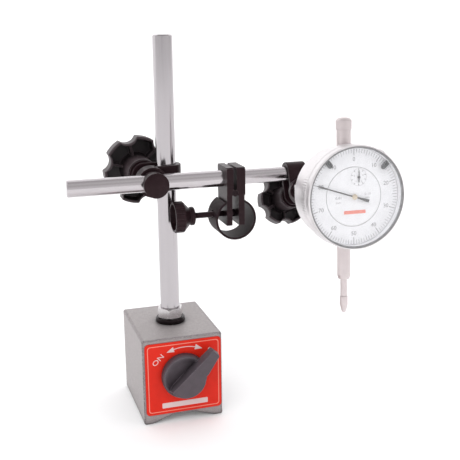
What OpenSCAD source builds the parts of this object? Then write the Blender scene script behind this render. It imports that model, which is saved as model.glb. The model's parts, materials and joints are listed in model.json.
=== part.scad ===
// Dial indicator on a switchable magnetic base, with a rod arm and a fine adjustment.
// The origin is the centre of the base's foot, +Z is up, and the dial faces -Y.
// All sizes are in millimetres.

/* [Base] */
// Width of the magnetic base
base_w = 50; // [46:1:60]
// Depth of the magnetic base
base_d = 60; // [56:1:70]
// Height of the magnetic base
base_h = 55; // [52:1:60]
// Depth of the V groove in the foot
groove_h = 4.5; // [3:0.5:6]
// Height of the switch axis above the foot
switch_z = 31; // [30:0.5:32]
// Direction of the switch lever at rest, from +X towards +Z
lever_angle = 48; // [40:1:50]

/* [Column and arm] */
// Radius of the column
post_r = 6; // [5.5:0.5:6.5]
// Height of the column's upper end above the foot
post_top = 232.8; // [225:0.1:260]
// Radius of the arm's rods
rod_r = 5; // [4.5:0.5:5]
// Radius of the front rod
front_r = 4.5; // [4:0.5:4.5]
// Place of the arm's axis in front of the column
rod_y = -19.2; // [-20:0.1:-19]
// Height of the arm's axis above the foot
rod_z = 148.7; // [140:0.1:160]
// Place of the arm's free left end
rod_left = -62.8; // [-80:0.1:-50]
// Place of the column clamp's bolt beside the column
bolt_x = -12.3; // [-14:0.1:-12]

/* [Fine adjustment] */
// Place of the left face of the two jaws
jaw_x = 29.9; // [28:0.1:31]
// Thickness of the fixed jaw
fixed_jaw_t = 4; // [3.5:0.1:4.2]
// Thickness of the moving jaw
moving_jaw_t = 5.2; // [5:0.1:6]
// Gap between the jaws
jaw_gap = 2.2; // [2:0.1:2.4]
// Height of the pivot pin's axis
pin_z = 141; // [140.5:0.1:141.5]
// Height of the fine screw's axis
screw_z = 127; // [126:0.1:128]
// Outer radius of the spring ring
ring_r = 12.6; // [12:0.1:13]

/* [End clamp] */
// Middle of the end clamp along the arm
clamp_x = 76.2; // [74:0.1:77]
// Backward lean of the end clamp about the arm
clamp_tilt = 20; // [10:1:24]
// Distance from the arm's axis down to the end clamp's bolt
clamp_drop = 13; // [12.5:0.5:14]
// Distance from the bolt axis' foot forward to the cross hole
hole_reach = 15.8; // [15.5:0.1:17]
// Sideways lean of the indicator
swivel = 0.35; // [-3:0.01:3]
// Backward lean of the indicator
lean = 4.2; // [0:0.1:6]
// Distance from the end clamp's middle to the indicator's lug
lug_x = 16.8; // [16.5:0.1:19]

/* [Indicator] */
// Radius of the bezel
bezel_r = 29.9; // [29.8:0.1:30.4]
// Radius of the stem
stem_r = 4; // [4:0.5:4]
// Radius of the spindle
spindle_r = 2; // [2:0.1:2.1]
// Travel of the spindle
travel = 10; // [5:1:10]
// Height of the dial's centre above the lug's hole
dial_z = -1.3; // [-1.5:0.1:1.5]
// Angle of the main hand at rest, from +X towards +Z
hand_angle = 161.8; // [0:0.1:360]

/* [Hidden] */
$fn = 64;
// Running clearance between a shaft and its bore
fit = 0.05;
post_wall = 3;
strap_h = 15.2;
bolt_r = 4;
head_r = 7.2;
collar_r = 8.9;
jaw_front = -28.7;
jaw_back = -9.7;
jaw_top = 156.3;
jaw_step = 139.6;
ring_z = 124.9;
leg_bottom = 121.3;
slit_x = jaw_x + fixed_jaw_t;
moving_x = slit_x + jaw_gap;
jaw_right = moving_x + moving_jaw_t;
pin_x = slit_x + jaw_gap / 2;
pin_r = 1.95;
leg_face = moving_x + 1.2;
screw_r = 1.9;
front_rod_right = 87.5;
strap_wall = 2.6;
end_bolt_r = 3;
end_head_r = 7;
case_r = 27.5;
spindle_y = -16.3;
case_back = -9.3;
cover_back = -7.8;
case_front = -23;
floor_back = -24.5;
floor_front = -26;
dial_front = -29.8;
dial_t = 0.6;
bezel_front = -35;
gap_r = 16.9;
arbor_r = 0.5;
arbor_dx = 3;
arbor_dz = 11;
wheel_teeth = 100;
pinion_teeth = 10;
rack_teeth = 16;
rack_pitch = 0.625;
rack_r = rack_teeth * rack_pitch / (2 * PI);
wheel_r = norm([arbor_dx, arbor_dz]) * wheel_teeth / (wheel_teeth + pinion_teeth);
pinion_r = wheel_r * pinion_teeth / wheel_teeth;
mesh_angle = atan2(arbor_dz, arbor_dx);
tooth_h = 0.19;
tooth_gap = 0.05;

// A round bar along X from x0 to x1.
module bar_x(r, x0, x1) {
    translate([x0, 0, 0]) rotate([0, 90, 0]) cylinder(r = r, h = x1 - x0);
}

// A round bar along Y from y0 to y1.
module bar_y(r, y0, y1) {
    translate([0, y0, 0]) rotate([-90, 0, 0]) cylinder(r = r, h = y1 - y0);
}

// A truncated cone along Y, of radius r0 at y0 and r1 at y1.
module cone_y(r0, r1, y0, y1) {
    translate([0, y0, 0]) rotate([-90, 0, 0]) cylinder(r1 = r0, r2 = r1, h = y1 - y0);
}

// A round bar along Z from z0 to z1.
module bar_z(r, z0, z1) {
    translate([0, 0, z0]) cylinder(r = r, h = z1 - z0);
}

// A tube along Y.
module tube_y(r, bore, y0, y1) {
    difference() {
        bar_y(r, y0, y1);
        bar_y(bore, y0 - 1, y1 + 1);
    }
}

// A box given by its two opposite corners.
module box(low, high) {
    translate(low) cube(high - low);
}

// A flat shape drawn in X and Z, made solid from y0 to y1.
module plate_y(y0, y1) {
    translate([0, y1, 0]) rotate([90, 0, 0]) linear_extrude(y1 - y0) children();
}

// A rectangle about the origin with its corners cut off by c.
module cut_rect(w, h, c) {
    polygon([
        [-w / 2 + c, -h / 2], [w / 2 - c, -h / 2], [w / 2, -h / 2 + c], [w / 2, h / 2 - c],
        [w / 2 - c, h / 2], [-w / 2 + c, h / 2], [-w / 2, h / 2 - c], [-w / 2, -h / 2 + c]]);
}

// Corner points of a spur gear's outline, each tooth narrower than its gap for backlash.
function gear_points(teeth, r_root, r_tip, phase) = [
    for (i = [0 : teeth - 1], k = [0 : 3])
        let (
            pitch = 360 / teeth,
            half = (k == 0 || k == 3) ? 0.25 : 0.11,
            side = (k < 2) ? -1 : 1,
            r = (k == 0 || k == 3) ? r_root : r_tip,
            a = phase + (i + side * half) * pitch)
        r * [cos(a), sin(a)]];

module gear(teeth, r_pitch, phase, y0, y1) {
    plate_y(y0, y1) polygon(gear_points(teeth, r_pitch - tooth_h - tooth_gap, r_pitch + tooth_h, phase));
}

/* ---------- Base ---------- */

// The whole block, its outer edges chamfered and its foot grooved.
module base_block() {
    edge = 1.2;
    difference() {
        intersection() {
            linear_extrude(base_h) cut_rect(base_w, base_d, edge);
            plate_y(-base_d / 2, base_d / 2) translate([0, base_h / 2]) cut_rect(base_w, base_h, edge);
            rotate([0, 0, 90]) plate_y(-base_w / 2, base_w / 2)
                translate([0, base_h / 2]) cut_rect(base_d, base_h, edge);
        }
        plate_y(-base_d / 2 - 1, base_d / 2 + 1)
            polygon([[-20.5, -1], [-19.5, 0], [-6.5, groove_h], [6.5, groove_h], [19.5, 0], [20.5, -1]]);
        translate([0, 0, switch_z]) bar_y(rotor_r, -base_d / 2 - 1, base_d / 2 + 1);
        bar_z(stud_r + fit, stud_bottom, base_h + 1);
    }
}
rotor_r = 14.5;
stud_r = 4.9;
stud_bottom = 47.3;
spacer_w = 3;

module pole_left() {
    color("#aca5a5") difference() {
        intersection() {
            base_block();
            box([-base_w, -base_d, -1], [-spacer_w / 2, base_d, base_h + 1]);
        }
        stop_pin_at() bar_y(1.5, -31, -25.7);
    }
}

module pole_right() {
    color("#aca5a5") intersection() {
        base_block();
        box([spacer_w / 2, -base_d, -1], [base_w, base_d, base_h + 1]);
    }
}

// Two non-magnetic strips that keep the steel poles apart, above and below the rotor.
module pole_spacers() {
    color("#c8a55a") intersection() {
        base_block();
        box([-spacer_w / 2, -base_d, -1], [spacer_w / 2, base_d, base_h + 1]);
    }
}

module switch_label() {
    color("#e6321e") difference() {
        plate_y(-base_d / 2 - 0.5, -base_d / 2) translate([0, 29.2]) cut_rect(48, 46.5, 2);
        translate([0, 0, switch_z]) bar_y(11, -base_d / 2 - 1, -base_d / 2 + 1);
    }
}

// The stop pin stands in the left pole and reaches over the rotor cap's cut-out.
stop_angle = 200;
module stop_pin_at() {
    translate([(rotor_r + 0.6) * cos(stop_angle), 0, switch_z + (rotor_r + 0.6) * sin(stop_angle)]) children();
}
module stop_pin() {
    color("silver") stop_pin_at() bar_y(1.48, -29.8, -25.8);
}

module rear_plug() {
    color("#8f8a8a") translate([0, 0, switch_z]) {
        bar_y(rotor_r - 0.01, 26.5, 29);
        bar_y(5, 25.9, 26.5);
    }
}

/* ---------- Switch ---------- */

module rotor_at() {
    translate([0, 0, switch_z]) rotate([0, -lever_angle, 0]) children();
}

module rotor_magnet() {
    color("#3a3a3e") rotor_at() box([-12.5, -25.6, -4], [12.5, 25.6, 4]);
}

module rotor_shoes() {
    color("#9a9a9e") rotor_at() for (side = [-1, 1]) {
        intersection() {
            bar_y(rotor_r - fit, -25.6, 25.6);
            box([-20, -30, side > 0 ? 4 : -20], [20, 30, side > 0 ? 20 : -4]);
        }
    }
}

// The cap that turns the rotor; its rim is cut back over the arc that the stop pin allows.
sweep = 110;
module rotor_cap() {
    arc = [for (a = [-8 : 6 : sweep + 10]) 30 * [cos(a), sin(a)]];
    stop_from = stop_angle - sweep - lever_angle;
    color("#b9975b") rotor_at() difference() {
        union() {
            bar_y(rotor_r - fit, -29.7, -25.6);
            bar_y(4, -34, -29.7);
        }
        difference() {
            rotate([0, -stop_from, 0]) plate_y(-30, -25) polygon(concat([[0, 0]], arc));
            bar_y(12.4, -31, -24);
        }
        box([2.8, -35, -5], [5, -30.6, 5]);
    }
}

module switch_knob() {
    skirt_r = 14;
    grip_r = 11.9;
    bar_tip = 24.1;
    color("#4a4148") rotor_at() difference() {
        union() {
            cone_y(skirt_r, skirt_r - 0.5, -31.6, -30.6);
            bar_y(skirt_r, -35.6, -31.6);
            cone_y(skirt_r - 1.2, skirt_r, -36.6, -35.6);
            intersection() {
                plate_y(-41.6, -33) polygon([
                    [-15, 4.1], [bar_tip - 1.2, 0.3], [bar_tip, -0.9], [bar_tip - 0.9, -6.1],
                    [9, -8.7], [8, -15], [-15, -15]]);
                union() {
                    bar_y(grip_r, -45, -32);
                    box([6, -45, -10], [30, -32, 10]);
                }
            }
        }
        difference() {
            bar_y(4.02, -34.1, -30);
            box([2.82, -35, -5], [5, -30.7, 5]);
        }
    }
}

/* ---------- Column ---------- */

module post() {
    color("#d9d9dc") union() {
        bar_z(post_r, base_h + 3.2, post_top - 0.8);
        translate([0, 0, post_top - 0.8]) cylinder(r1 = post_r, r2 = post_r - 0.8, h = 0.8);
        bar_z(stud_r, stud_bottom + 0.3, base_h + 3.2);
    }
}

module post_washer() {
    color("#1c1517") difference() {
        union() {
            translate([0, 0, base_h]) cylinder(r1 = 9, r2 = 9.4, h = 0.6);
            bar_z(9.4, base_h + 0.6, base_h + 2.2);
            translate([0, 0, base_h + 2.2]) cylinder(r1 = 9.4, r2 = 8.6, h = 0.9);
        }
        bar_z(stud_r + 0.02, base_h - 1, base_h + 4);
    }
}

// A hexagon nut screwed up against the washer, its corners turned off at both ends.
module post_nut() {
    across_flats = 14.6;
    corner_r = across_flats / 2 / cos(30);
    low = base_h + 3.2;
    high = base_h + 9.6;
    color("#cfcdd0") difference() {
        intersection() {
            translate([0, 0, low]) rotate([0, 0, 12]) cylinder(r = corner_r, h = high - low, $fn = 6);
            union() {
                translate([0, 0, low]) cylinder(r1 = corner_r - 0.9, r2 = corner_r + 0.1, h = 0.8);
                bar_z(corner_r + 0.1, low + 0.8, high - 0.8);
                translate([0, 0, high - 0.8]) cylinder(r1 = corner_r + 0.1, r2 = corner_r - 0.9, h = 0.8);
            }
        }
        bar_z(post_r + 0.02, low - 1, high + 1);
    }
}

/* ---------- Column clamp ---------- */

// A strap bent round a bar at the origin, along Z, with its two flat ends pointing to -X.
module strap(bar_r, wall, width, reach, end_r, hole_r) {
    outer = bar_r + wall;
    difference() {
        intersection() {
            translate([0, 0, -width / 2]) linear_extrude(width) difference() {
                union() {
                    circle(r = outer);
                    translate([-reach - end_r, -outer]) square([reach + end_r, 2 * outer]);
                }
                circle(r = bar_r);
                translate([-reach - end_r - 1, -bar_r]) square([reach + end_r + 1, 2 * bar_r]);
            }
            union() {
                translate([-reach, 0, 0]) bar_y(end_r, -outer - 1, outer + 1);
                box([-reach, -outer - 1, -width / 2 - 1], [outer + 1, outer + 1, width / 2 + 1]);
            }
        }
        translate([-reach, 0, 0]) bar_y(hole_r, -outer - 1, outer + 1);
    }
}

module post_strap() {
    color("#2a2024") translate([0, 0, rod_z])
        strap(post_r + fit, post_wall, strap_h, -bolt_x, strap_h / 2, bolt_r + fit);
}

strap_back = post_r + fit + post_wall;
module at_bolt() {
    translate([bolt_x, 0, rod_z]) children();
}

module large_knob_washer() {
    color("#b8b6ba") at_bolt() tube_y(8.6, bolt_r + fit, strap_back, strap_back + 1.5);
}

// The bolt's head holds the arm in a cross hole and ends in a shallow dome.
module clamp_bolt() {
    color("#2a2024") at_bolt() difference() {
        union() {
            bar_y(bolt_r, -13, 31);
            bar_y(head_r, -27.4, -12.6);
            cone_y(head_r + 0.25, head_r + 0.25, -28.6, -27.4);
            intersection() {
                translate([0, -14.4, 0]) sphere(r = 16);
                bar_y(head_r + 0.25, -31, -28.6);
            }
        }
        translate([0, rod_y, 0]) bar_x(rod_r + fit, -20, 20);
    }
}

// The cup round the bolt's head that the arm is drawn against.
module saddle_collar() {
    color("#241b1f") at_bolt() difference() {
        bar_y(collar_r, rod_y + 0.6, -strap_back);
        bar_y(head_r + fit, rod_y - 1, -12.4);
        bar_y(bolt_r + fit, -13, 0);
        translate([0, rod_y, 0]) bar_x(rod_r + fit, -20, 20);
    }
}

/* ---------- Star knobs ---------- */

// The outline of a six-lobed knob: a circle with round scallops between the lobes.
module star_outline(r, inset) {
    scallop = 0.315 * r;
    difference() {
        circle(r = r - inset);
        for (i = [0 : 5]) rotate(45 + 60 * i) translate([1.143 * r, 0]) circle(r = scallop + inset);
    }
}

// A moulded star knob along Y: the hub starts at y0, the star fills y1 to y2, open to the front.
module star_knob(r, hub_r, insert_r, y0, y1, y2) {
    wall = 0.11 * r;
    rib_w = 0.08 * r;
    back_t = 2.6;
    edge = 0.8;
    difference() {
        union() {
            plate_y(y1 + edge, y2 - edge) star_outline(r, 0);
            plate_y(y1, y2) star_outline(r, edge);
            cone_y(0.78 * r, 0.6 * r, y2 - 0.01, y2 + 1.4);
        }
        difference() {
            plate_y(y1 - 1, y2 - back_t) star_outline(r, wall);
            bar_y(hub_r, y1 - 2, y2);
            for (i = [0 : 5]) rotate([0, -15 - 60 * i, 0])
                box([0, y1 + 2.5, -rib_w / 2], [r, y2, rib_w / 2]);
        }
        bar_y(insert_r, y1 - 1, y2 - back_t);
    }
    difference() {
        union() {
            bar_y(hub_r, y0 + 1, y2 - back_t);
            cone_y(hub_r - 1, hub_r, y0, y0 + 1);
        }
        bar_y(insert_r, y0 - 1, y2 - back_t);
    }
}

knob_y0 = strap_back + 1.6;
knob_y1 = 24.5;
knob_y2 = 35.5;
large_insert_r = 6;
module star_knob_large() {
    color("#2c2327") at_bolt() star_knob(21.6, 9.5, large_insert_r, knob_y0, knob_y1, knob_y2);
}

module large_knob_insert() {
    color("#c9a24e") at_bolt() tube_y(large_insert_r - 0.01, bolt_r + fit, knob_y0 + 0.2, knob_y2 - 2.7);
}

/* ---------- Arm and fine adjustment ---------- */

module at_arm() {
    translate([0, rod_y, rod_z]) children();
}

module arm_rod() {
    color("#d6d4d8") at_arm() union() {
        bar_x(rod_r, rod_left + 0.6, slit_x - 0.5);
        translate([rod_left, 0, 0]) rotate([0, 90, 0]) cylinder(r1 = rod_r - 0.6, r2 = rod_r, h = 0.6);
    }
}

// A jaw from x0 to x1 with its leg from leg0 to leg1.
module jaw(x0, x1, leg0, leg1) {
    cut = 0.7;
    difference() {
        union() {
            box([x0, jaw_front, jaw_step], [x1, jaw_back, jaw_top - cut]);
            box([x0, jaw_front + cut, jaw_top - cut - 0.01], [x1, jaw_back - cut, jaw_top]);
            box([leg0, jaw_front + 0.4, leg_bottom], [leg1, jaw_back - 0.4, jaw_step + 0.01]);
        }
        children();
    }
}

module fixed_jaw() {
    color("#1e1719") jaw(jaw_x, slit_x, jaw_x, slit_x - 0.7) {
        at_arm() bar_x(rod_r, jaw_x - 1, slit_x - 0.5);
        at_pin() bar_y(pin_r, -40, 0);
        at_screw() bar_x(screw_r + fit, jaw_x - 1, slit_x + 1);
    }
}

module at_pin() {
    translate([pin_x, 0, pin_z]) children();
}

module at_screw() {
    translate([0, rod_y, screw_z]) children();
}

module pivot_pin() {
    color("#5c5257") at_pin() bar_y(pin_r, jaw_front + 0.2, jaw_back - 0.2);
}

// A broad C-shaped spring ring, open at the top, whose ends draw the two legs together.
module c_spring() {
    wall = 1.3;
    mouth = 31;
    centre_x = (jaw_x + jaw_right) / 2;
    color("#2a2125") difference() {
        translate([centre_x, 0, ring_z]) difference() {
            tube_y(ring_r, ring_r - wall, jaw_front + 0.3, jaw_back - 0.3);
            plate_y(-40, 0) polygon([[0, 0], [-30 * tan(mouth), 30], [30 * tan(mouth), 30]]);
        }
        at_screw() bar_x(screw_r + 0.6, 15, centre_x);
    }
}

screw_tip = leg_face - 1.3;
module fine_screw() {
    color("#3b3337") at_screw() union() {
        bar_x(screw_r, 6.91, screw_tip - 1.25);
        bar_x(1.3, screw_tip - 1.25, screw_tip);
    }
}

// A loose pad on the screw's tip, which bears on the moving leg without turning.
module screw_pad() {
    color("#8f8a8c") at_screw() difference() {
        union() {
            bar_x(2.4, screw_tip - 0.7, leg_face - 0.33);
            translate([leg_face - 0.34, 0, 0]) rotate([0, 90, 0]) cylinder(r1 = 2.4, r2 = 0.8, h = 0.3);
        }
        bar_x(1.35, screw_tip - 1, screw_tip + 0.5);
    }
}

// A cupped thumb knob: wide rim, cone and neck, its open cup facing left.
module fine_knob() {
    rim_r = 9.4;
    neck_r = 5.6;
    flutes = 16;
    color("#241c1f") at_screw() difference() {
        rotate([0, 90, 0]) rotate_extrude() polygon([
            [0, 2.2], [rim_r - 2, 2.2], [rim_r - 1.5, -1], [rim_r - 0.6, -1], [rim_r, -0.4],
            [rim_r, 4.6], [rim_r - 0.5, 5.2], [neck_r - 0.4, 8.6], [neck_r - 0.4, 9.2], [neck_r, 9.6],
            [neck_r, 11.2], [neck_r - 0.6, 11.7], [0, 11.7]]);
        bar_x(screw_r, 6.9, 14);
        for (i = [0 : flutes - 1]) rotate([i * 360 / flutes, 0, 0])
            translate([0, 0, rim_r + 0.55]) bar_x(0.9, -2, 5.6);
    }
}

module moving_jaw() {
    color("#1e1719") jaw(moving_x, jaw_right, leg_face, jaw_right - 0.4) {
        at_arm() bar_x(front_r, moving_x + 0.5, jaw_right + 1);
        at_pin() bar_y(pin_r + fit, -40, 0);
    }
}

module front_rod() {
    color("#d6d4d8") at_arm() union() {
        bar_x(front_r, moving_x + 0.5, front_rod_right - 0.6);
        translate([front_rod_right - 0.6, 0, 0]) rotate([0, 90, 0])
            cylinder(r1 = front_r, r2 = front_r - 0.6, h = 0.6);
    }
}

/* ---------- End clamp ---------- */

module clamp_frame() {
    translate([clamp_x, rod_y, rod_z]) rotate([-clamp_tilt, 0, 0]) children();
}

module end_bolt_frame() {
    clamp_frame() translate([0, 0, -clamp_drop]) children();
}

module holder_frame() {
    end_bolt_frame() rotate([0, swivel, 0]) children();
}

end_back = front_r + fit + strap_wall;
end_w = 12;
module rod_strap() {
    color("#33282d") clamp_frame() rotate([0, 90, 0]) mirror([1, 0, 0])
        strap(front_r + fit, strap_wall, end_w, clamp_drop, end_w / 2, end_bolt_r + fit);
}

module small_knob_washer() {
    color("#b8b6ba") end_bolt_frame() tube_y(7, end_bolt_r + fit, end_back, end_back + 1.4);
}

module holder_bolt() {
    color("#2a2024") holder_frame() difference() {
        union() {
            bar_y(end_bolt_r, -10, 25.5);
            bar_y(end_head_r, -hole_reach, -9.7);
            intersection() {
                translate([0, -hole_reach, 0]) sphere(r = end_head_r);
                bar_y(end_head_r + 1, -hole_reach - end_head_r, -hole_reach);
            }
        }
        translate([0, -hole_reach, 0]) bar_x(stem_r + fit, -20, 20);
    }
}

module holder_collar() {
    color("#3a2e34") holder_frame() difference() {
        union() {
            bar_y(8.6, -14, -9);
            cone_y(8.6, 8, -9, -end_back);
        }
        bar_y(end_head_r + fit, -20, -9.6);
        bar_y(end_bolt_r + fit, -10, 0);
        translate([0, -hole_reach, 0]) bar_x(stem_r + fit, -20, 20);
    }
}

small_y0 = end_back + 1.5;
small_y1 = 20;
small_y2 = 29.5;
small_insert_r = 4.6;
module star_knob_small() {
    color("#2c2327") end_bolt_frame() rotate([0, 19, 0])
        star_knob(16.3, 7.6, small_insert_r, small_y0, small_y1, small_y2);
}

module small_knob_insert() {
    color("#c9a24e") end_bolt_frame()
        tube_y(small_insert_r - 0.01, end_bolt_r + fit, small_y0 + 0.2, small_y2 - 2.7);
}

/* ---------- Indicator: origin on the lug's hole, X along the hole ---------- */

module indicator_frame() {
    holder_frame() translate([lug_x, -hole_reach, 0]) rotate([clamp_tilt - lean, 0, 0]) children();
}

// The dial's axis, along Y through the centre of the dial.
module dial_frame() {
    indicator_frame() translate([0, 0, dial_z]) children();
}

// The spindle's axis, along Z behind the dial.
module spindle_frame() {
    dial_frame() translate([0, spindle_y, 0]) children();
}

lug_half = 2.5;
shoulder_r = 3.2;
module lug_rod() {
    color("#c9c4c8") indicator_frame() difference() {
        union() {
            bar_x(stem_r, -lug_x - 6.4, -lug_half - 0.1);
            translate([-lug_x - 7, 0, 0]) rotate([0, 90, 0]) cylinder(r1 = stem_r - 0.6, r2 = stem_r, h = 0.6);
        }
        bar_x(3.02, -10, 0);
    }
}

module lug_screw() {
    color("#bdb8bc") indicator_frame() difference() {
        union() {
            bar_x(3, -9.6, -lug_half);
            bar_x(shoulder_r - 0.25, -lug_half - 0.05, -lug_half);
            bar_x(shoulder_r, -lug_half, lug_half + 0.1);
            bar_x(4.9, lug_half + 0.1, lug_half + 4.6);
        }
        translate([lug_half + 2.4, 0, 0]) rotate([0, 90, 0]) cylinder(r = 2.3, h = 3, $fn = 6);
    }
}

module case_body() {
    wall = 2;
    color("#e4e0e2") dial_frame() difference() {
        union() {
            difference() {
                bar_y(case_r, case_front, case_back);
                bar_y(case_r - wall, floor_back, case_back + 1);
            }
            difference() {
                bar_y(26, floor_front, case_front + 0.01);
                bar_y(case_r - wall, floor_back, case_front + 1);
            }
            for (a = [30, 150, 270]) rotate([0, -a, 0]) translate([12.5, 0, 0])
                bar_y(1.4, dial_front + dial_t, floor_front + 0.01);
            // Pads that hold the stem below and the dust tube above.
            intersection() {
                bar_y(case_r - 0.5, case_front + 0.6, case_back - 0.4);
                union() {
                    translate([-6.2, spindle_y - 6.2, -28]) cube([12.4, 12.4, 6.5]);
                    translate([-6.2, spindle_y - 6.2, 21.5]) cube([12.4, 12.4, 6.5]);
                }
            }
        }
        translate([0, spindle_y, 0]) bar_z(stem_r + 0.5, -40, -20);
        translate([0, spindle_y, 0]) bar_z(stem_r, 20, 40);
        bar_y(0.9, -40, -20);
        for (side = [-1, 1]) translate([side * arbor_dx, 0, side * arbor_dz]) bar_y(arbor_r + 0.06, -40, -20);
        clamp_screw_frame() bar_x(1.05, 20, 35);
        // Threaded holes for the cover's screws are drilled into the rim.
        cover_screw_places() bar_y(0.8, case_back - 3.5, case_back + 1);
    }
}

module cover_screw_places() {
    for (a = [45, 135, 225, 315]) rotate([0, -a, 0]) translate([case_r - 1.1, 0, 0]) children();
}

// The back cover carries the lug on its outside.
module back_cover() {
    lug_r = 6.4;
    color("#dcd7da") difference() {
        union() {
            dial_frame() bar_y(case_r, case_back, cover_back - 0.4);
            dial_frame() cone_y(case_r, case_r - 0.5, cover_back - 0.4, cover_back);
            indicator_frame() bar_x(lug_r, -lug_half, lug_half);
            indicator_frame() box([-lug_half, cover_back - 0.2, -lug_r], [lug_half, 0, lug_r]);
            indicator_frame() difference() {
                bar_y(8.6, cover_back - 0.2, cover_back + 0.9);
                bar_x(20, -40, -30);
            }
        }
        indicator_frame() bar_x(shoulder_r + fit, -10, 10);
        dial_frame() cover_screw_places() bar_y(0.92, case_back - 1, cover_back + 1);
    }
}

module cover_screws() {
    color("#a9a5a8") dial_frame() cover_screw_places() {
        bar_y(0.78, case_back - 3, cover_back);
        difference() {
            bar_y(1.05, cover_back, cover_back + 0.5);
            box([-2, cover_back + 0.25, -0.15], [2, cover_back + 1, 0.15]);
        }
    }
}

stem_bottom = -50.7;
stem_top = -30.5;
module stem() {
    color("#d8d0d3") spindle_frame() difference() {
        union() {
            bar_z(stem_r, stem_bottom + 2.4, stem_top);
            bar_z(stem_r + 0.5, stem_top, -22.2);
            translate([0, 0, stem_bottom]) cylinder(r1 = 3.3, r2 = stem_r, h = 2.4);
        }
        bar_z(spindle_r + fit, -70, -20);
    }
}

tube_top = 37.3;
module dust_tube() {
    color("#dbd3d6") spindle_frame() difference() {
        union() {
            bar_z(stem_r, 22, 27.7);
            bar_z(4.25, 27.7, tube_top + 2);
        }
        bar_z(3.2, 21, tube_top + 3);
    }
}

module dust_cap() {
    cap_r = 4.75;
    color("#d6cdd0") spindle_frame() difference() {
        union() {
            bar_z(cap_r, tube_top, tube_top + 5.6);
            translate([0, 0, tube_top + 5.6]) cylinder(r1 = cap_r, r2 = cap_r - 0.7, h = 0.8);
            intersection() {
                translate([0, 0, tube_top - 5.4]) sphere(r = 12.6);
                bar_z(cap_r - 0.7, tube_top + 6.4, tube_top + 7.4);
            }
        }
        bar_z(4.26, tube_top - 1, tube_top + 2);
        bar_z(3.2, tube_top, tube_top + 5.2);
    }
}

// The rear bridge on three pillars, and the small bridge behind the centre pinion.
module movement_bridges() {
    color("#c8a55a") dial_frame() difference() {
        union() {
            tube_y(21, 9, -11.6, -10.6);
            box([-21, -11.6, -13.4], [21, -10.6, -8.6]);
            box([-21, -11.6, 8.6], [21, -10.6, 13.4]);
            for (a = [0, 180, 300]) rotate([0, -a, 0]) translate([19, 0, 0]) bar_y(1.6, floor_back, -11.5);
            box([-9.5, -20.8, -1.8], [9.5, -19.9, 1.8]);
            for (x = [-8, 8]) translate([x, 0, 0]) bar_y(1.2, floor_back, -20.7);
        }
        bar_y(0.56, -22, -19);
        for (side = [-1, 1]) translate([side * arbor_dx, 0, side * arbor_dz])
            bar_y(arbor_r + 0.06, -13, -9);
    }
}

module dial_centre() {
    color("#f6f5f7") dial_frame() difference() {
        bar_y(gap_r - 0.08, dial_front, dial_front + dial_t);
        bar_y(1, -40, -20);
        translate([arbor_dx, 0, arbor_dz]) bar_y(arbor_r + 0.2, -40, -20);
    }
}

// A round wire wound into a helix, swept as one closed skin.
module helix(coil_r, wire_r, z0, z1, turns) {
    sides = 8;
    steps = 16;
    count = turns * steps;
    rise = atan2(z1 - z0, 360 * turns * coil_r * PI / 180);
    points = [for (i = [0 : count], j = [0 : sides - 1])
        let (
            a = 360 * i / steps,
            b = 360 * j / sides,
            out = coil_r + wire_r * cos(b),
            up = wire_r * sin(b))
        [out * cos(a) + up * sin(rise) * sin(a), out * sin(a) - up * sin(rise) * cos(a),
            z0 + (z1 - z0) * i / count + up * cos(rise)]];
    skin = [for (i = [0 : count - 1], j = [0 : sides - 1])
        let (k = (j + 1) % sides)
        [i * sides + j, (i + 1) * sides + j, (i + 1) * sides + k, i * sides + k]];
    start = [for (j = [0 : sides - 1]) j];
    finish = [for (j = [sides - 1 : -1 : 0]) count * sides + j];
    polyhedron(points, concat(skin, [start, finish]));
}

spindle_top = 15.6;
tip_z = -71.8;
module return_spring() {
    color("#b9b6ba") spindle_frame() helix(2.4, 0.3, spindle_top + 0.5, tube_top + 4.6, 9);
}

module hairspring() {
    turns = 3;
    step = 15;
    inner = 1.3;
    grow = 1.1;
    half = 0.09;
    centre_line = function (a) inner + grow * a / 360;
    out_side = [for (a = [0 : step : 360 * turns]) (centre_line(a) + half) * [cos(a), sin(a)]];
    in_side = [for (a = [360 * turns : -step : 0]) (centre_line(a) - half) * [cos(a), sin(a)]];
    color("#7a86a8") dial_frame() translate([arbor_dx, 0, arbor_dz])
        plate_y(-21.6, -21) polygon(concat(out_side, in_side));
}

clamp_angle = 43;
module clamp_screw_frame() {
    rotate([0, -clamp_angle, 0]) translate([0, spindle_y - 1, 0]) children();
}

module bezel_clamp_screw() {
    head_r = 3.1;
    color("#d9d3d6") dial_frame() clamp_screw_frame() difference() {
        union() {
            bar_x(1, 24.2, 30);
            bar_x(1.8, 27.7, 29.7);
            bar_x(head_r, 29.7, 33.4);
            translate([33.4, 0, 0]) rotate([0, 90, 0]) cylinder(r1 = head_r, r2 = head_r - 0.6, h = 0.6);
        }
        for (i = [0 : 11]) rotate([i * 30, 0, 0]) translate([0, 0, head_r + 0.3]) bar_x(0.5, 30.2, 33.2);
    }
}

/* ---------- Spindle ---------- */

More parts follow.
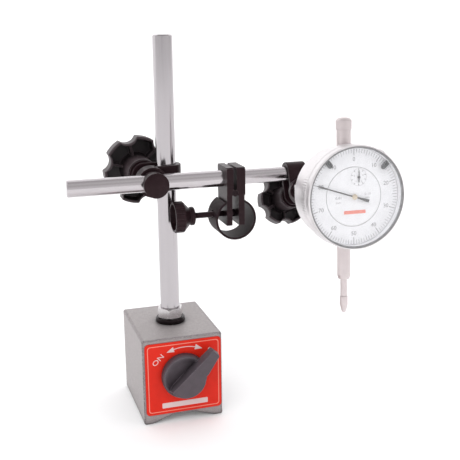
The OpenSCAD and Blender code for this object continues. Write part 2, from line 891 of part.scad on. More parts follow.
rack_z = -arbor_dz;
rack_x = -arbor_dx + rack_r;
module spindle() {
    rack_low = rack_z - travel - 3.2 * rack_pitch;
    rack_high = rack_z + 3 * rack_pitch;
    tip_x = rack_x - tooth_h + 0.02;
    root_x = rack_x + tooth_h + tooth_gap;
    color("#d9cdd0") spindle_frame() difference() {
        union() {
            bar_z(spindle_r, tip_z + 10.6, spindle_top);
            bar_z(1.2, tip_z + 8.2, tip_z + 10.6);
        }
        box([-3, -3, rack_low], [tip_x, 3, rack_high]);
        // Gaps of the rack, one of them facing the pinion at rest.
        for (z = [rack_z - travel - rack_pitch : rack_pitch : rack_z + 2 * rack_pitch])
            plate_y(-3, 3) polygon([
                [tip_x - 1, z - 0.39 * rack_pitch], [tip_x, z - 0.39 * rack_pitch],
                [root_x, z - 0.25 * rack_pitch], [root_x, z + 0.25 * rack_pitch],
                [tip_x, z + 0.39 * rack_pitch], [tip_x - 1, z + 0.39 * rack_pitch]]);
    }
}

module contact_point() {
    color("#d2cdd0") spindle_frame() difference() {
        rotate_extrude() polygon([
            [0, tip_z], [0.7, tip_z + 0.15], [1.1, tip_z + 0.5], [2.3, tip_z + 5], [2.35, tip_z + 5.4],
            [2.35, tip_z + 10], [2.1, tip_z + 10.55], [0, tip_z + 10.55]]);
        bar_z(1.22, tip_z + 8.1, tip_z + 16);
    }
}

/* ---------- Bezel ---------- */

bezel_in = 28.95;
seal_in = bezel_in - 1.05;
ledge_r = 26.05;
module bezel_ring() {
    grips = 72;
    color("#e8e4e6") dial_frame() difference() {
        union() {
            rotate([-90, 0, 0]) rotate_extrude() polygon([
                [ledge_r, case_front - 0.2], [bezel_r - 0.8, case_front - 0.2], [bezel_r, case_front - 0.9],
                [bezel_r, bezel_front + 1.6], [bezel_r - 0.2, bezel_front + 0.7], [bezel_r - 0.6, bezel_front],
                [bezel_in + 0.05, bezel_front], [bezel_in, bezel_front + 0.3],
                [bezel_in, dial_front + dial_t], [ledge_r, dial_front + dial_t]]);
        }
        for (i = [0 : grips - 1]) rotate([0, i * 360 / grips, 0]) translate([bezel_r + 0.35, 0, 0])
            bar_y(0.6, case_front - 4.4, case_front - 1.4);
    }
}

module crystal_gasket() {
    color("#8c8a8c") dial_frame()
        tube_y(bezel_in - 0.01, seal_in, bezel_front + 0.35, dial_front - 0.02);
}

module crystal() {
    dome_r = 190;
    color([0.9, 0.94, 0.96, 0.3]) dial_frame() intersection() {
        bar_y(seal_in - 0.01, bezel_front - 0.5, -33);
        translate([0, bezel_front - 1.6 + dome_r + 0.6, 0]) sphere(r = dome_r + 0.6, $fn = 256);
    }
}

module dial_ring() {
    color("#f6f5f7") dial_frame() tube_y(seal_in - 0.05, gap_r, dial_front, dial_front + dial_t);
}

module limit_marker(angle) {
    color("#8d8b8d") dial_frame() rotate([0, -angle, 0]) plate_y(-32, -31.4)
        polygon([
            [23, -1.1], [23.6, -1.7], [seal_in - 0.15, -1.9], [seal_in - 0.15, 1.9], [23.6, 1.7], [23, 1.1]]);
}

module limit_marker_left() {
    limit_marker(133.5);
}

module limit_marker_right() {
    limit_marker(46.5);
}

/* ---------- Hands and gears ---------- */

// A hand in the plane y0 to y1 pointing along +X, with its counterweight towards -X.
module hand(tip, tail, root_w, tip_w, eye_r, y0, y1) {
    plate_y(y0, y1) polygon([
        [-tail, -root_w * 0.8], [0, -root_w / 2], [tip - 1.5, -tip_w / 2], [tip, -0.05],
        [tip, 0.05], [tip - 1.5, tip_w / 2], [0, root_w / 2], [-tail, root_w * 0.8]]);
    bar_y(eye_r, y0, y1);
}

module pointer_hand() {
    color("#5f5c5e") dial_frame() rotate([0, -hand_angle, 0]) difference() {
        union() {
            hand(24.6, 9.6, 0.9, 0.45, 1.5, -31.2, -30.95);
            bar_y(1.15, -31.6, -30.5);
        }
        bar_y(0.42, -31.4, -30);
    }
}

module centre_pinion() {
    color("#c7a95c") dial_frame() union() {
        bar_y(0.41, -31.38, -23.9);
        gear(pinion_teeth, pinion_r, mesh_angle + 180 + 180 / pinion_teeth, -23.95, -21.9);
        bar_y(arbor_r, -22, -20.3);
    }
}

module counter_hand() {
    color("#5f5c5e") dial_frame() translate([arbor_dx, 0, arbor_dz]) rotate([0, -90, 0]) difference() {
        union() {
            hand(4.2, 3, 0.5, 0.3, 0.85, -30.4, -30.2);
            bar_y(0.8, -30.55, -30);
        }
        bar_y(0.3, -30.5, -29);
    }
}

// An arbor at the given side of the dial's centre, with its wheel in the pinion's plane.
module wheel_arbor(side, front) {
    translate([side * arbor_dx, 0, side * arbor_dz]) {
        bar_y(arbor_r, -26.4, -10.8);
        if (front < -27) bar_y(0.29, front, -26.3);
        gear(wheel_teeth, wheel_r, side > 0 ? mesh_angle + 180 : mesh_angle, -23.4, -22.6);
        children();
    }
}

module transfer_gear() {
    color("#c7a95c") dial_frame() wheel_arbor(-1, -26.4) gear(rack_teeth, rack_r, 0, -17.4, -15.2);
}

module take_up_gear() {
    color("#c7a95c") dial_frame() wheel_arbor(1, -30.45) bar_y(1, -22.6, -20.8);
}

pole_left();
pole_right();
pole_spacers();
switch_label();
stop_pin();
rear_plug();
rotor_magnet();
rotor_shoes();
rotor_cap();
switch_knob();
post();
post_nut();
post_washer();
post_strap();
large_knob_washer();
clamp_bolt();
saddle_collar();
star_knob_large();
large_knob_insert();
arm_rod();
fixed_jaw();
pivot_pin();
c_spring();
fine_screw();
screw_pad();
fine_knob();
moving_jaw();
front_rod();
rod_strap();
small_knob_washer();
holder_bolt();
holder_collar();
star_knob_small();
small_knob_insert();
lug_rod();
lug_screw();
case_body();
back_cover();
cover_screws();
stem();
dust_tube();
dust_cap();
movement_bridges();
dial_centre();
return_spring();
hairspring();
bezel_clamp_screw();
spindle();
contact_point();
bezel_ring();
crystal();
crystal_gasket();
dial_ring();
limit_marker_left();
limit_marker_right();
pointer_hand();
centre_pinion();
counter_hand();
transfer_gear();
take_up_gear();
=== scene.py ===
"""Dial indicator on a switchable magnetic base: materials, detailed pieces, light and camera."""

import json
import math

import bmesh
import bpy
from mathutils import Matrix, Vector


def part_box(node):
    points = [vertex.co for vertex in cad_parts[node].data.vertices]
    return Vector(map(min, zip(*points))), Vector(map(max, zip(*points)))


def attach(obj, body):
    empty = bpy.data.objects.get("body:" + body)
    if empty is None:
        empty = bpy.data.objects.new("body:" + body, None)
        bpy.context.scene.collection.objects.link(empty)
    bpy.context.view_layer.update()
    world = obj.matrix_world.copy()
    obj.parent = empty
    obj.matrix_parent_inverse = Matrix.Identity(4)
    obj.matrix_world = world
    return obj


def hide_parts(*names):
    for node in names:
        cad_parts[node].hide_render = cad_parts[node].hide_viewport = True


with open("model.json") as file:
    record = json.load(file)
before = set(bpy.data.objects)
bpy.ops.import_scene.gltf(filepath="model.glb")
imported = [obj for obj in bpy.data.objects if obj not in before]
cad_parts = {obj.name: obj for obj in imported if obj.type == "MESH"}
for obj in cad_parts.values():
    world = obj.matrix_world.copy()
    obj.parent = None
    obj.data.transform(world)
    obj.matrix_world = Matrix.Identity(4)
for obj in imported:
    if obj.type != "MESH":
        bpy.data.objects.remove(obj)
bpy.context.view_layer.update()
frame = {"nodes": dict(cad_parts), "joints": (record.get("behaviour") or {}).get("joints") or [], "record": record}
MM = 0.001

JOINTS = {j["name"]: j for j in frame["joints"]}


# ---------- Local frames, worked out from the joints ----------

X, Y, Z = Vector((1, 0, 0)), Vector((0, 1, 0)), Vector((0, 0, 1))
LUG_SETBACK = 0.030  # metres from the bezel's joint back to the plane of the lug's hole


def joint_axis(name):
    return Vector(JOINTS[name]["axis"]).normalized()


def joint_place(name):
    return Vector(JOINTS[name]["pos_m"])


def local_frame(origin, x, y, z):
    """A matrix that takes millimetres along x, y and z to metres in the row frame."""
    m = Matrix((x, y, z)).transposed().to_4x4()
    return Matrix.Translation(origin) @ m @ Matrix.Diagonal((MM, MM, MM, 1))


# The dial: origin where its axis meets the plane of the lug's hole, y backwards, z along the plunger.
DIAL_Y = joint_axis("bezel_turn")
DIAL_Z = joint_axis("plunger_slide")
DIAL_X = DIAL_Y.cross(DIAL_Z)
DIAL = local_frame(joint_place("bezel_turn") + LUG_SETBACK * DIAL_Y, DIAL_X, DIAL_Y, DIAL_Z)

# The switch: origin on its axis in the plane y = 0, x along the lever.
SWITCH_AT = joint_place("switch_turn")
LEVER_ANGLE = math.radians(48)
SWITCH = local_frame(
    Vector((0, 0, SWITCH_AT.z)),
    Vector((math.cos(LEVER_ANGLE), 0, math.sin(LEVER_ANGLE))),
    Y,
    Vector((-math.sin(LEVER_ANGLE), 0, math.cos(LEVER_ANGLE))),
)

WORLD = local_frame(Vector((0, 0, 0)), X, Y, Z)


def knob_frame(joint, turn):
    """A knob's frame: y along its axis, away from the dial, and x turned by turn degrees from sideways."""
    y = joint_axis(joint)
    across = X.cross(y)
    a = math.radians(turn)
    x = X * math.cos(a) + across * math.sin(a)
    z = across * math.cos(a) - X * math.sin(a)
    return local_frame(joint_place(joint), x, y, z)


# ---------- Materials ----------

class Nodes:
    """Short helpers round a material's node tree."""

    def __init__(self, name):
        self.mat = bpy.data.materials.new(name)
        self.mat.use_nodes = True
        self.tree = self.mat.node_tree
        self.tree.nodes.clear()
        self.out = self.tree.nodes.new("ShaderNodeOutputMaterial")
        self.shader = self.tree.nodes.new("ShaderNodeBsdfPrincipled")
        self.link(self.shader.outputs[0], self.out.inputs[0])
        self.coords = self.tree.nodes.new("ShaderNodeTexCoord").outputs["Object"]

    def link(self, a, b):
        self.tree.links.new(a, b)

    def set(self, **values):
        for key, value in values.items():
            self.shader.inputs[key.replace("_", " ")].default_value = value
        return self

    def stretched(self, scale):
        node = self.tree.nodes.new("ShaderNodeMapping")
        node.inputs["Scale"].default_value = scale
        self.link(self.coords, node.inputs["Vector"])
        return node.outputs[0]

    def noise(self, scale, detail=4, rough=0.55, stretch=(1, 1, 1)):
        node = self.tree.nodes.new("ShaderNodeTexNoise")
        node.inputs["Scale"].default_value = scale
        node.inputs["Detail"].default_value = detail
        node.inputs["Roughness"].default_value = rough
        self.link(self.stretched(stretch), node.inputs["Vector"])
        return node.outputs["Fac"]

    def cells(self, scale):
        node = self.tree.nodes.new("ShaderNodeTexVoronoi")
        node.feature = "SMOOTH_F1"
        node.inputs["Scale"].default_value = scale
        self.link(self.coords, node.inputs["Vector"])
        return node.outputs["Distance"]

    def wear(self, reach_mm, scale=900, low=0.02, high=0.16):
        """1 along edges, out to reach_mm and broken up by noise, and 0 elsewhere; it marks worn edges, and on
        moulded plastic a painted highlight.
        """
        rounded = self.tree.nodes.new("ShaderNodeBevel")
        rounded.samples = 4
        rounded.inputs["Radius"].default_value = reach_mm * MM
        plain = self.tree.nodes.new("ShaderNodeNewGeometry").outputs["Normal"]
        dot = self.tree.nodes.new("ShaderNodeVectorMath")
        dot.operation = "DOT_PRODUCT"
        self.link(rounded.outputs[0], dot.inputs[0])
        self.link(plain, dot.inputs[1])
        bend = self.math("SUBTRACT", 1.0, dot.outputs["Value"])
        edge = self.ramp(bend, [(low, (0, 0, 0)), (high, (1, 1, 1))])
        patches = self.ramp(self.noise(scale), [(0.35, (0.25, 0.25, 0.25)), (0.65, (1, 1, 1))])
        return self.math("MULTIPLY", edge, patches)

    def hollow(self, reach_mm, floor=0.0):
        """Painted shade from ambient occlusion: 1 in the open, falling to floor in narrow hollows."""
        node = self.tree.nodes.new("ShaderNodeAmbientOcclusion")
        node.samples = 6
        node.inputs["Distance"].default_value = reach_mm * MM
        return self.ramp(node.outputs["AO"], [(0.2, (floor,) * 3), (0.95, (1, 1, 1))])

    def math(self, operation, a, b):
        node = self.tree.nodes.new("ShaderNodeMath")
        node.operation = operation
        for socket, value in zip(node.inputs, (a, b)):
            if isinstance(value, (int, float)):
                socket.default_value = value
            else:
                self.link(value, socket)
        return node.outputs[0]

    def ramp(self, factor, stops):
        node = self.tree.nodes.new("ShaderNodeValToRGB")
        elements = node.color_ramp.elements
        while len(elements) < len(stops):
            elements.new(0.5)
        for element, (position, colour) in zip(elements, stops):
            element.position = position
            element.color = (*colour, 1)
        self.link(factor, node.inputs[0])
        return node.outputs[0]

    def mix(self, factor, a, b):
        node = self.tree.nodes.new("ShaderNodeMix")
        node.data_type = "RGBA"
        self.link(factor, node.inputs[0])
        for socket, value in ((node.inputs[6], a), (node.inputs[7], b)):
            if isinstance(value, tuple):
                socket.default_value = (*value, 1)
            else:
                self.link(value, socket)
        return node.outputs[2]

    def colour(self, value):
        self.link(value, self.shader.inputs["Base Color"])
        return self

    def roughness(self, factor, low, high):
        node = self.tree.nodes.new("ShaderNodeMapRange")
        node.inputs["To Min"].default_value = low
        node.inputs["To Max"].default_value = high
        self.link(factor, node.inputs["Value"])
        self.link(node.outputs[0], self.shader.inputs["Roughness"])
        return self

    def bump(self, height, distance, strength=1.0):
        node = self.tree.nodes.new("ShaderNodeBump")
        node.inputs["Strength"].default_value = strength
        node.inputs["Distance"].default_value = distance
        self.link(height, node.inputs["Height"])
        if self.shader.inputs["Normal"].is_linked:
            self.link(self.shader.inputs["Normal"].links[0].from_socket, node.inputs["Normal"])
        self.link(node.outputs[0], self.shader.inputs["Normal"])
        return self


def tones(base, spread):
    """Three tones round a colour, darker to lighter, for a ramp."""
    darker = tuple(c * (1 - spread) for c in base)
    lighter = tuple(min(1, c * (1 + spread)) for c in base)
    return [(0.3, darker), (0.5, base), (0.7, lighter)]


def hammered_paint(name, base):
    n = Nodes(name).set(Metallic=0.25)
    grain = n.cells(1500)
    fine = n.noise(5200, 3)
    body = n.ramp(n.noise(420, 5), tones(base, 0.10))
    flecks = n.ramp(n.noise(1500, 4, 0.7), [(0.40, (0, 0, 0)), (0.60, (1, 1, 1))])
    speckle = n.mix(flecks, tuple(c * 0.80 for c in base), body)
    worn = n.mix(n.wear(2.0, 1100, 0.003, 0.04), speckle, (base[0] * 0.22, base[1] * 0.18, base[2] * 0.20))
    # Painted shade: in hollows and next to other parts, such as the V groove and round the washer, the paint
    # darkens to 0.12 of its colour.
    n.colour(n.mix(n.hollow(7, 0.1), tuple(c * 0.12 for c in base), worn))
    n.roughness(fine, 0.38, 0.60)
    return n.bump(grain, 0.00012, 0.55).bump(fine, 0.00004, 0.5).mat


def blackened_steel(name, base, rough=(0.24, 0.42)):
    n = Nodes(name).set(Specular_IOR_Level=0.2, Specular_Tint=(1.0, 0.78, 0.82, 1))
    patina = n.ramp(n.noise(260, 6), tones(base, 0.22))
    n.colour(n.mix(n.wear(0.5), patina, (0.060, 0.040, 0.045)))
    n.roughness(n.noise(1300, 5), *rough)
    return n.bump(n.noise(4200, 3), 0.00002, 0.5).mat


def moulded_plastic(name, base, rough=(0.34, 0.52)):
    n = Nodes(name).set(Specular_IOR_Level=0.4)
    # Painted shade: the plastic darkens to a fifth of its colour in hollows, such as inside the knobs' lobes and
    # the lever's scoop.
    body = n.mix(n.hollow(16), tuple(c * 0.2 for c in base), n.ramp(n.noise(200, 4), tones(base, 0.10)))
    # Painted highlight: the rims and edges are lightened where light would graze them.
    n.colour(n.mix(n.wear(0.7), body, tuple(min(1, c * 2.2 + 0.04) for c in base)))
    n.roughness(n.noise(900, 4), *rough)
    return n.bump(n.noise(3800, 2), 0.00003, 0.45).mat


def turned_metal(name, base, along, rough=(0.12, 0.24), spread=0.04):
    """Ground or drawn metal whose fine lines run along one axis, 0, 1 or 2; None has no direction."""
    n = Nodes(name).set(Metallic=1.0)
    stretch = tuple(0.03 if i == along else 1.0 for i in range(3))
    lines = n.noise(5200, 3, 0.6, stretch)
    n.colour(n.ramp(n.noise(150, 5, 0.6, stretch), tones(base, spread)))
    n.roughness(n.noise(900, 5, 0.6, stretch), *rough)
    return n.bump(lines, 0.000008, 0.35).mat


def satin_finish(name, base, metallic=0.75, rough=(0.30, 0.44)):
    n = Nodes(name).set(Metallic=metallic)
    n.colour(n.ramp(n.noise(180, 4), tones(base, 0.025)))
    n.roughness(n.noise(1500, 4), *rough)
    return n.bump(n.noise(6500, 2), 0.000012, 0.4).mat


def printed(name, base, rough=(0.36, 0.5), shine=0.45):
    n = Nodes(name).set(Specular_IOR_Level=shine)
    n.colour(n.ramp(n.noise(240, 4), tones(base, 0.035)))
    n.roughness(n.noise(1800, 4), *rough)
    return n.bump(n.noise(5200, 2), 0.000010, 0.3).mat


def rubber(name, base):
    n = Nodes(name).set(Specular_IOR_Level=0.35)
    n.colour(n.ramp(n.noise(500, 4), tones(base, 0.15)))
    n.roughness(n.noise(2000, 3), 0.5, 0.7)
    return n.bump(n.noise(4800, 2), 0.00002, 0.5).mat


def clear_crystal(name):
    n = Nodes(name).set(Roughness=0.03, IOR=1.49, Alpha=0.07, Specular_IOR_Level=0.6)
    n.colour(n.ramp(n.noise(90, 2), tones((0.93, 0.95, 0.97), 0.01)))
    return n.bump(n.noise(60, 2), 0.00001, 0.2).mat


def sintered(name, base):
    n = Nodes(name).set(Metallic=0.6)
    n.colour(n.ramp(n.noise(1200, 5), tones(base, 0.2)))
    n.roughness(n.noise(1600, 4), 0.5, 0.75)
    return n.bump(n.noise(3000, 4), 0.00005, 0.6).mat


PAINT = hammered_paint("hammered_grey", (0.40, 0.368, 0.368))
FINE_BLACK = blackened_steel("fine_black", (0.010, 0.0055, 0.007), (0.2, 0.34))
LABEL_RED = printed("label_red", (0.72, 0.020, 0.007), (0.4, 0.55), 0.22)
LABEL_PALE = printed("label_pale", (0.72, 0.56, 0.55))
LABEL_LINE = printed("label_line", (0.84, 0.24, 0.18))
BLACKENED = blackened_steel("blackened", (0.014, 0.0065, 0.008))
SPRING_BLACK = blackened_steel("spring_black", (0.011, 0.0045, 0.006), (0.45, 0.65))
GLOSS_BLACK = blackened_steel("gloss_black", (0.006, 0.004, 0.0045), (0.10, 0.22))
KNOB_PLASTIC = moulded_plastic("knob_plastic", (0.042, 0.029, 0.033))
LEVER_PLASTIC = moulded_plastic("lever_plastic", (0.080, 0.064, 0.076), (0.42, 0.58))
CHROME_X = turned_metal("chrome_along_x", (0.56, 0.53, 0.545), 0)
CHROME_Z = turned_metal("chrome_along_z", (0.50, 0.475, 0.49), 2, (0.10, 0.20))
ZINC = turned_metal("zinc", (0.62, 0.60, 0.605), None, (0.18, 0.32))
STEEL = turned_metal("ground_steel", (0.42, 0.40, 0.40), 2, (0.22, 0.38), 0.08)
SATIN = satin_finish("satin_chrome", (0.78, 0.755, 0.765))
STEM_SATIN = satin_finish("stem_satin", (0.66, 0.595, 0.595), 0.75, (0.24, 0.36))
HUB_PALE = satin_finish("hub_pale", (0.70, 0.60, 0.46), 0.7)
BRASS = turned_metal("brass", (0.62, 0.47, 0.24), None, (0.2, 0.36), 0.1)
FERRITE = sintered("ferrite", (0.06, 0.06, 0.065))
DIAL_WHITE = printed("dial_white", (0.86, 0.86, 0.88), (0.42, 0.55))
DIAL_INK = printed("dial_ink", (0.26, 0.25, 0.26))
DIAL_GREY_INK = printed("dial_grey_ink", (0.40, 0.38, 0.40))
DIAL_RED = printed("dial_red", (0.84, 0.26, 0.20))
GASKET = rubber("gasket", (0.27, 0.27, 0.275))
MARKER = moulded_plastic("marker", (0.14, 0.135, 0.14))
HAND_GREY = satin_finish("hand_grey", (0.11, 0.105, 0.105), 0.4, (0.3, 0.45))
BLUED = turned_metal("blued_steel", (0.22, 0.27, 0.40), None, (0.2, 0.3), 0.15)
CRYSTAL = clear_crystal("crystal_clear")

SLOT_MATERIAL = {
    "base_paint": PAINT, "label": LABEL_RED, "blackened": BLACKENED, "knob_plastic": KNOB_PLASTIC,
    "lever_plastic": LEVER_PLASTIC, "polished": CHROME_X, "zinc": ZINC, "steel": STEEL,
    "satin_chrome": SATIN, "brass": BRASS, "ferrite": FERRITE, "dial_white": DIAL_WHITE, "gasket": GASKET,
    "marker": MARKER, "crystal": CRYSTAL, "hand": HAND_GREY, "spring_blue": BLUED,
}
NODE_MATERIAL = {
    "post": CHROME_Z, "post_washer": GLOSS_BLACK, "pivot_pin": FINE_BLACK, "screw_pad": FINE_BLACK,
    "c_spring": SPRING_BLACK, "stem": STEM_SATIN, "dust_tube": STEM_SATIN, "dust_cap": STEM_SATIN,
    "spindle": STEM_SATIN, "contact_point": STEM_SATIN, "bezel_clamp_screw": SATIN,
    "large_knob_washer": BLACKENED, "small_knob_washer": BLACKENED,
}


# ---------- The carried CAD nodes ----------

# Edge radii in millimetres, where they differ from the usual one.
USUAL_EDGE = 0.2
EDGE_RADIUS = {
    "post_strap": 0.6, "rod_strap": 0.5, "fixed_jaw": 0.45, "moving_jaw": 0.45, "c_spring": 0.3,
    "saddle_collar": 0.4, "holder_collar": 0.4, "clamp_bolt": 0.25, "case_body": 0.3, "back_cover": 0.25,
    "fine_knob": 0.25, "post_nut": 0.3, "lug_screw": 0.3, "bezel_clamp_screw": 0.12,
}
PLAIN_EDGES = {
    "centre_pinion", "take_up_gear", "transfer_gear", "hairspring", "return_spring", "spindle",
    "cover_screws", "counter_hand", "pointer_hand", "crystal",
}


def smooth(obj, edge_mm, segments=3):
    """Rounds an object's sharp edges and smooths the rest."""
    weld = obj.modifiers.new("weld", "WELD")
    weld.merge_threshold = 0.000002
    if edge_mm:
        bevel = obj.modifiers.new("round", "BEVEL")
        bevel.width = edge_mm * MM
        bevel.segments = segments
        bevel.limit_method = "ANGLE"
        bevel.angle_limit = math.radians(38)
        bevel.use_clamp_overlap = True
        bevel.harden_normals = False
    for polygon in obj.data.polygons:
        polygon.use_smooth = True
    split = obj.modifiers.new("sharp", "EDGE_SPLIT")
    split.split_angle = math.radians(34)
    split.use_edge_sharp = False
    obj.modifiers.new("normals", "WEIGHTED_NORMAL").keep_sharp = True


for subpart in frame["record"]["subparts"]:
    node = subpart["node"]
    cad = frame["nodes"][node]
    cad.data.materials.clear()
    cad.data.materials.append(NODE_MATERIAL.get(node, SLOT_MATERIAL[subpart["material_slot"]]))
    smooth(cad, 0 if node in PLAIN_EDGES else EDGE_RADIUS.get(node, USUAL_EDGE))


# ---------- Mesh tools ----------

def add_mesh(name, place, vertices, faces):
    """A mesh object whose vertices are given in millimetres in the local frame place."""
    mesh = bpy.data.meshes.new(name)
    mesh.from_pydata([place @ Vector(v) for v in vertices], [], faces)
    mesh.validate()
    mesh.update()
    obj = bpy.data.objects.new(name, mesh)
    bpy.context.scene.collection.objects.link(obj)
    tidy = bmesh.new()
    tidy.from_mesh(mesh)
    bmesh.ops.remove_doubles(tidy, verts=tidy.verts, dist=0.000001)
    bmesh.ops.recalc_face_normals(tidy, faces=tidy.faces)
    tidy.to_mesh(mesh)
    tidy.free()
    return obj


def piece(obj, body, slot, material, *replaced, edge=0.0, segments=3):
    """Finishes a piece: its material, its rounded edges, the body it rides on and what it replaces."""
    obj.data.materials.clear()
    obj.data.materials.append(material)
    smooth(obj, edge, segments)
    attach(obj, body)
    if replaced:
        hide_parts(*replaced)
    return obj


def ring_faces(rows, count, closed_rows=False):
    """Quads between neighbouring rings of count points each."""
    faces = []
    last = rows if closed_rows else rows - 1
    for i in range(last):
        for j in range(count):
            a, b = i * count, ((i + 1) % rows) * count
            k = (j + 1) % count
            faces.append((a + j, a + k, b + k, b + j))
    return faces


def skin(name, place, rows):
    """A solid over rings of equally many (x, y, z) points, closed at both ends."""
    count = len(rows[0])
    last = (len(rows) - 1) * count
    faces = ring_faces(len(rows), count)
    faces += [tuple(range(last, last + count)), tuple(range(count - 1, -1, -1))]
    return add_mesh(name, place, [v for row in rows for v in row], faces)


def lathe(name, place, profile, steps=96, shape=None):
    """Turns a profile of (radius, y) points round the local y axis.

    The profile is open and ends on the axis, or closed where its last point repeats its first.
    shape(angle, index) scales the radius.
    """
    closed = profile[0] == profile[-1]
    rows = profile[:-1] if closed else profile
    shape = shape or (lambda angle, index: 1.0)
    vertices = []
    for index, (radius, y) in enumerate(rows):
        for j in range(steps):
            a = 2 * math.pi * j / steps
            r = radius * shape(a, index)
            vertices.append((r * math.cos(a), y, r * math.sin(a)))
    return add_mesh(name, place, vertices, ring_faces(len(rows), steps, closed))


def slab(name, place, outline, y0, y1):
    """A flat piece: an outline of (x, z) points made solid from y0 to y1."""
    count = len(outline)
    vertices = [(x, y, z) for y in (y0, y1) for x, z in outline]
    faces = ring_faces(2, count) + [tuple(range(count)), tuple(range(2 * count - 1, count - 1, -1))]
    return add_mesh(name, place, vertices, faces)


def band(name, place, outer, inner, y0, y1):
    """A flat frame between two outlines of equal length, made solid from y0 to y1."""
    count = len(outer)
    loops = ((outer, y0), (outer, y1), (inner, y1), (inner, y0))
    vertices = [(x, y, z) for loop, y in loops for x, z in loop]
    return add_mesh(name, place, vertices, ring_faces(4, count, True))


def arc(cx, cz, radius, start, end, steps):
    """Points on an arc, from start to end degrees."""
    turn = [math.radians(start + (end - start) * i / steps) for i in range(steps + 1)]
    return [(cx + radius * math.cos(a), cz + radius * math.sin(a)) for a in turn]


def circle_points(cx, cz, radius, count):
    """Evenly spaced points on a circle."""
    return arc(cx, cz, radius, 0, 360 - 360 / count, count - 1)


def on_circle(cx, cz, radius, angle):
    """The point at an angle on a circle round (cx, cz)."""
    a = math.radians(angle)
    return (cx + radius * math.cos(a), cz + radius * math.sin(a))


def round_rect(x0, z0, x1, z1, radius, steps=8):
    """A rectangle's outline with round corners."""
    corners = [(x1, z1, 0), (x0, z1, 90), (x0, z0, 180), (x1, z0, 270)]
    points = []
    for x, z, start in corners:
        cx = x - radius if x == x1 else x + radius
        cz = z - radius if z == z1 else z + radius
        points += arc(cx, cz, radius, start, start + 90, steps)
    return points


def join(name, parts):
    """Joins loose mesh objects into one."""
    first = parts[0]
    merged = bmesh.new()
    for part in parts:
        merged.from_mesh(part.data)
    merged.to_mesh(first.data)
    merged.free()
    for part in parts[1:]:
        bpy.data.objects.remove(part)
    first.name = name
    return first


def lettering(name, place, words, size, x, z, y0, depth, turn=0.0, stretch=1.0):
    """Flat raised figures in the local x-z plane, centred at (x, z), their front at y0 and depth thick."""
    curve = bpy.data.curves.new(name, "FONT")
    curve.body = words
    curve.size = size
    curve.align_x = "CENTER"
    curve.align_y = "CENTER"
    curve.resolution_u = 3
    curve.extrude = depth / 2
    text = bpy.data.objects.new(name, curve)
    bpy.context.scene.collection.objects.link(text)
    bpy.context.view_layer.update()
    mesh = bpy.data.meshes.new_from_object(text)
    bpy.data.objects.remove(text)
    cos, sin = math.cos(math.radians(turn)), math.sin(math.radians(turn))
    vertices = []
    for vertex in mesh.vertices:
        u, v, w = vertex.co.x * stretch, vertex.co.y, vertex.co.z
        vertices.append((x + u * cos - v * sin, y0 + depth / 2 - w, z + u * sin + v * cos))
    faces = [tuple(polygon.vertices) for polygon in mesh.polygons]
    bpy.data.meshes.remove(mesh)
    return add_mesh(name, place, vertices, faces)


# ---------- Base ----------

low, high = (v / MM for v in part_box("pole_left"))
base_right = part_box("pole_right")[1].x / MM
front_y, back_y, top_z = low.y, high.y, high.z
GROOVE_H = 4.5
GROOVE_TOP_X = 6.5
GROOVE_FOOT_X = 19.5
REAR_SEAT_R = 14.6
REAR_SEAT_DEPTH = 3.5


def base_outline():
    """The block's front outline, with the V groove in its foot."""
    corner = 1.4
    points = arc(base_right - corner, top_z - corner, corner, 0, 90, 5)
    points += arc(low.x + corner, top_z - corner, corner, 90, 180, 5)
    points += arc(low.x + corner, corner, corner, 180, 270, 5)
    points += [(-GROOVE_FOOT_X, 0), (-GROOVE_TOP_X, GROOVE_H), (GROOVE_TOP_X, GROOVE_H), (GROOVE_FOOT_X, 0)]
    points += arc(base_right - corner, corner, corner, 270, 360, 5)
    return points


def cut_rear_seat(block):
    """Cuts the rear plug's shallow round seat into the back of the block."""
    place = local_frame(Vector((0, back_y * MM, SWITCH_AT.z)), X, Y, Z)
    profile = [(0, -REAR_SEAT_DEPTH), (REAR_SEAT_R, -REAR_SEAT_DEPTH), (REAR_SEAT_R, 2), (0, 2)]
    cutter = lathe("cutter", place, profile, 64)
    cut = block.modifiers.new("rear_seat", "BOOLEAN")
    cut.operation = "DIFFERENCE"
    cut.solver = "EXACT"
    cut.object = cutter
    bpy.context.view_layer.update()
    cut_mesh = bpy.data.meshes.new_from_object(block.evaluated_get(bpy.context.evaluated_depsgraph_get()))
    block.modifiers.clear()
    block.data = cut_mesh
    bpy.data.objects.remove(cutter)


base_shell = slab("base_shell", WORLD, base_outline(), front_y, back_y)
cut_rear_seat(base_shell)
piece(base_shell, "base", "base_paint", PAINT, "pole_left", "pole_right", "pole_spacers",
      edge=1.1, segments=4)

# The label: a red plate with a pale inset line, a two-headed arrow round the switch and a plain bar.
LABEL_FRONT = (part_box("switch_label")[0] / MM).y
LABEL_X0, LABEL_Z0 = -23.6, 6.0
LABEL_X1, LABEL_Z1 = 24.2, 52.6
SUNK = 0.02  # how far the plate and printed marks reach into what they lie on
LABEL_INK = 0.07
LABEL_PRINT = (LABEL_FRONT - LABEL_INK, LABEL_FRONT + SUNK)


def inset(amount, radius):
    """The label's outline, drawn in by amount all round."""
    return round_rect(LABEL_X0 + amount, LABEL_Z0 + amount, LABEL_X1 - amount, LABEL_Z1 - amount, radius)


def arrow_outline():
    """A thin arc with a solid triangular head at each end."""
    cx, cz, radius = 1.1, 22.3, 26.3
    start, end, head = 64.8, 115.2, 10.4
    half_line, half_head, tip = 0.24, 1.75, 0.15
    outer = arc(cx, cz, radius + half_line, start + head, end - head, 20)
    inner = arc(cx, cz, radius - half_line, end - head, start + head, 20)
    left = [on_circle(cx, cz, radius + out, a) for out, a in
            ((half_head, end - head), (tip, end), (-half_head, end - head))]
    right = [on_circle(cx, cz, radius + out, a) for out, a in
             ((-half_head, start + head), (tip, start), (half_head, start + head))]
    return outer + left + inner + right


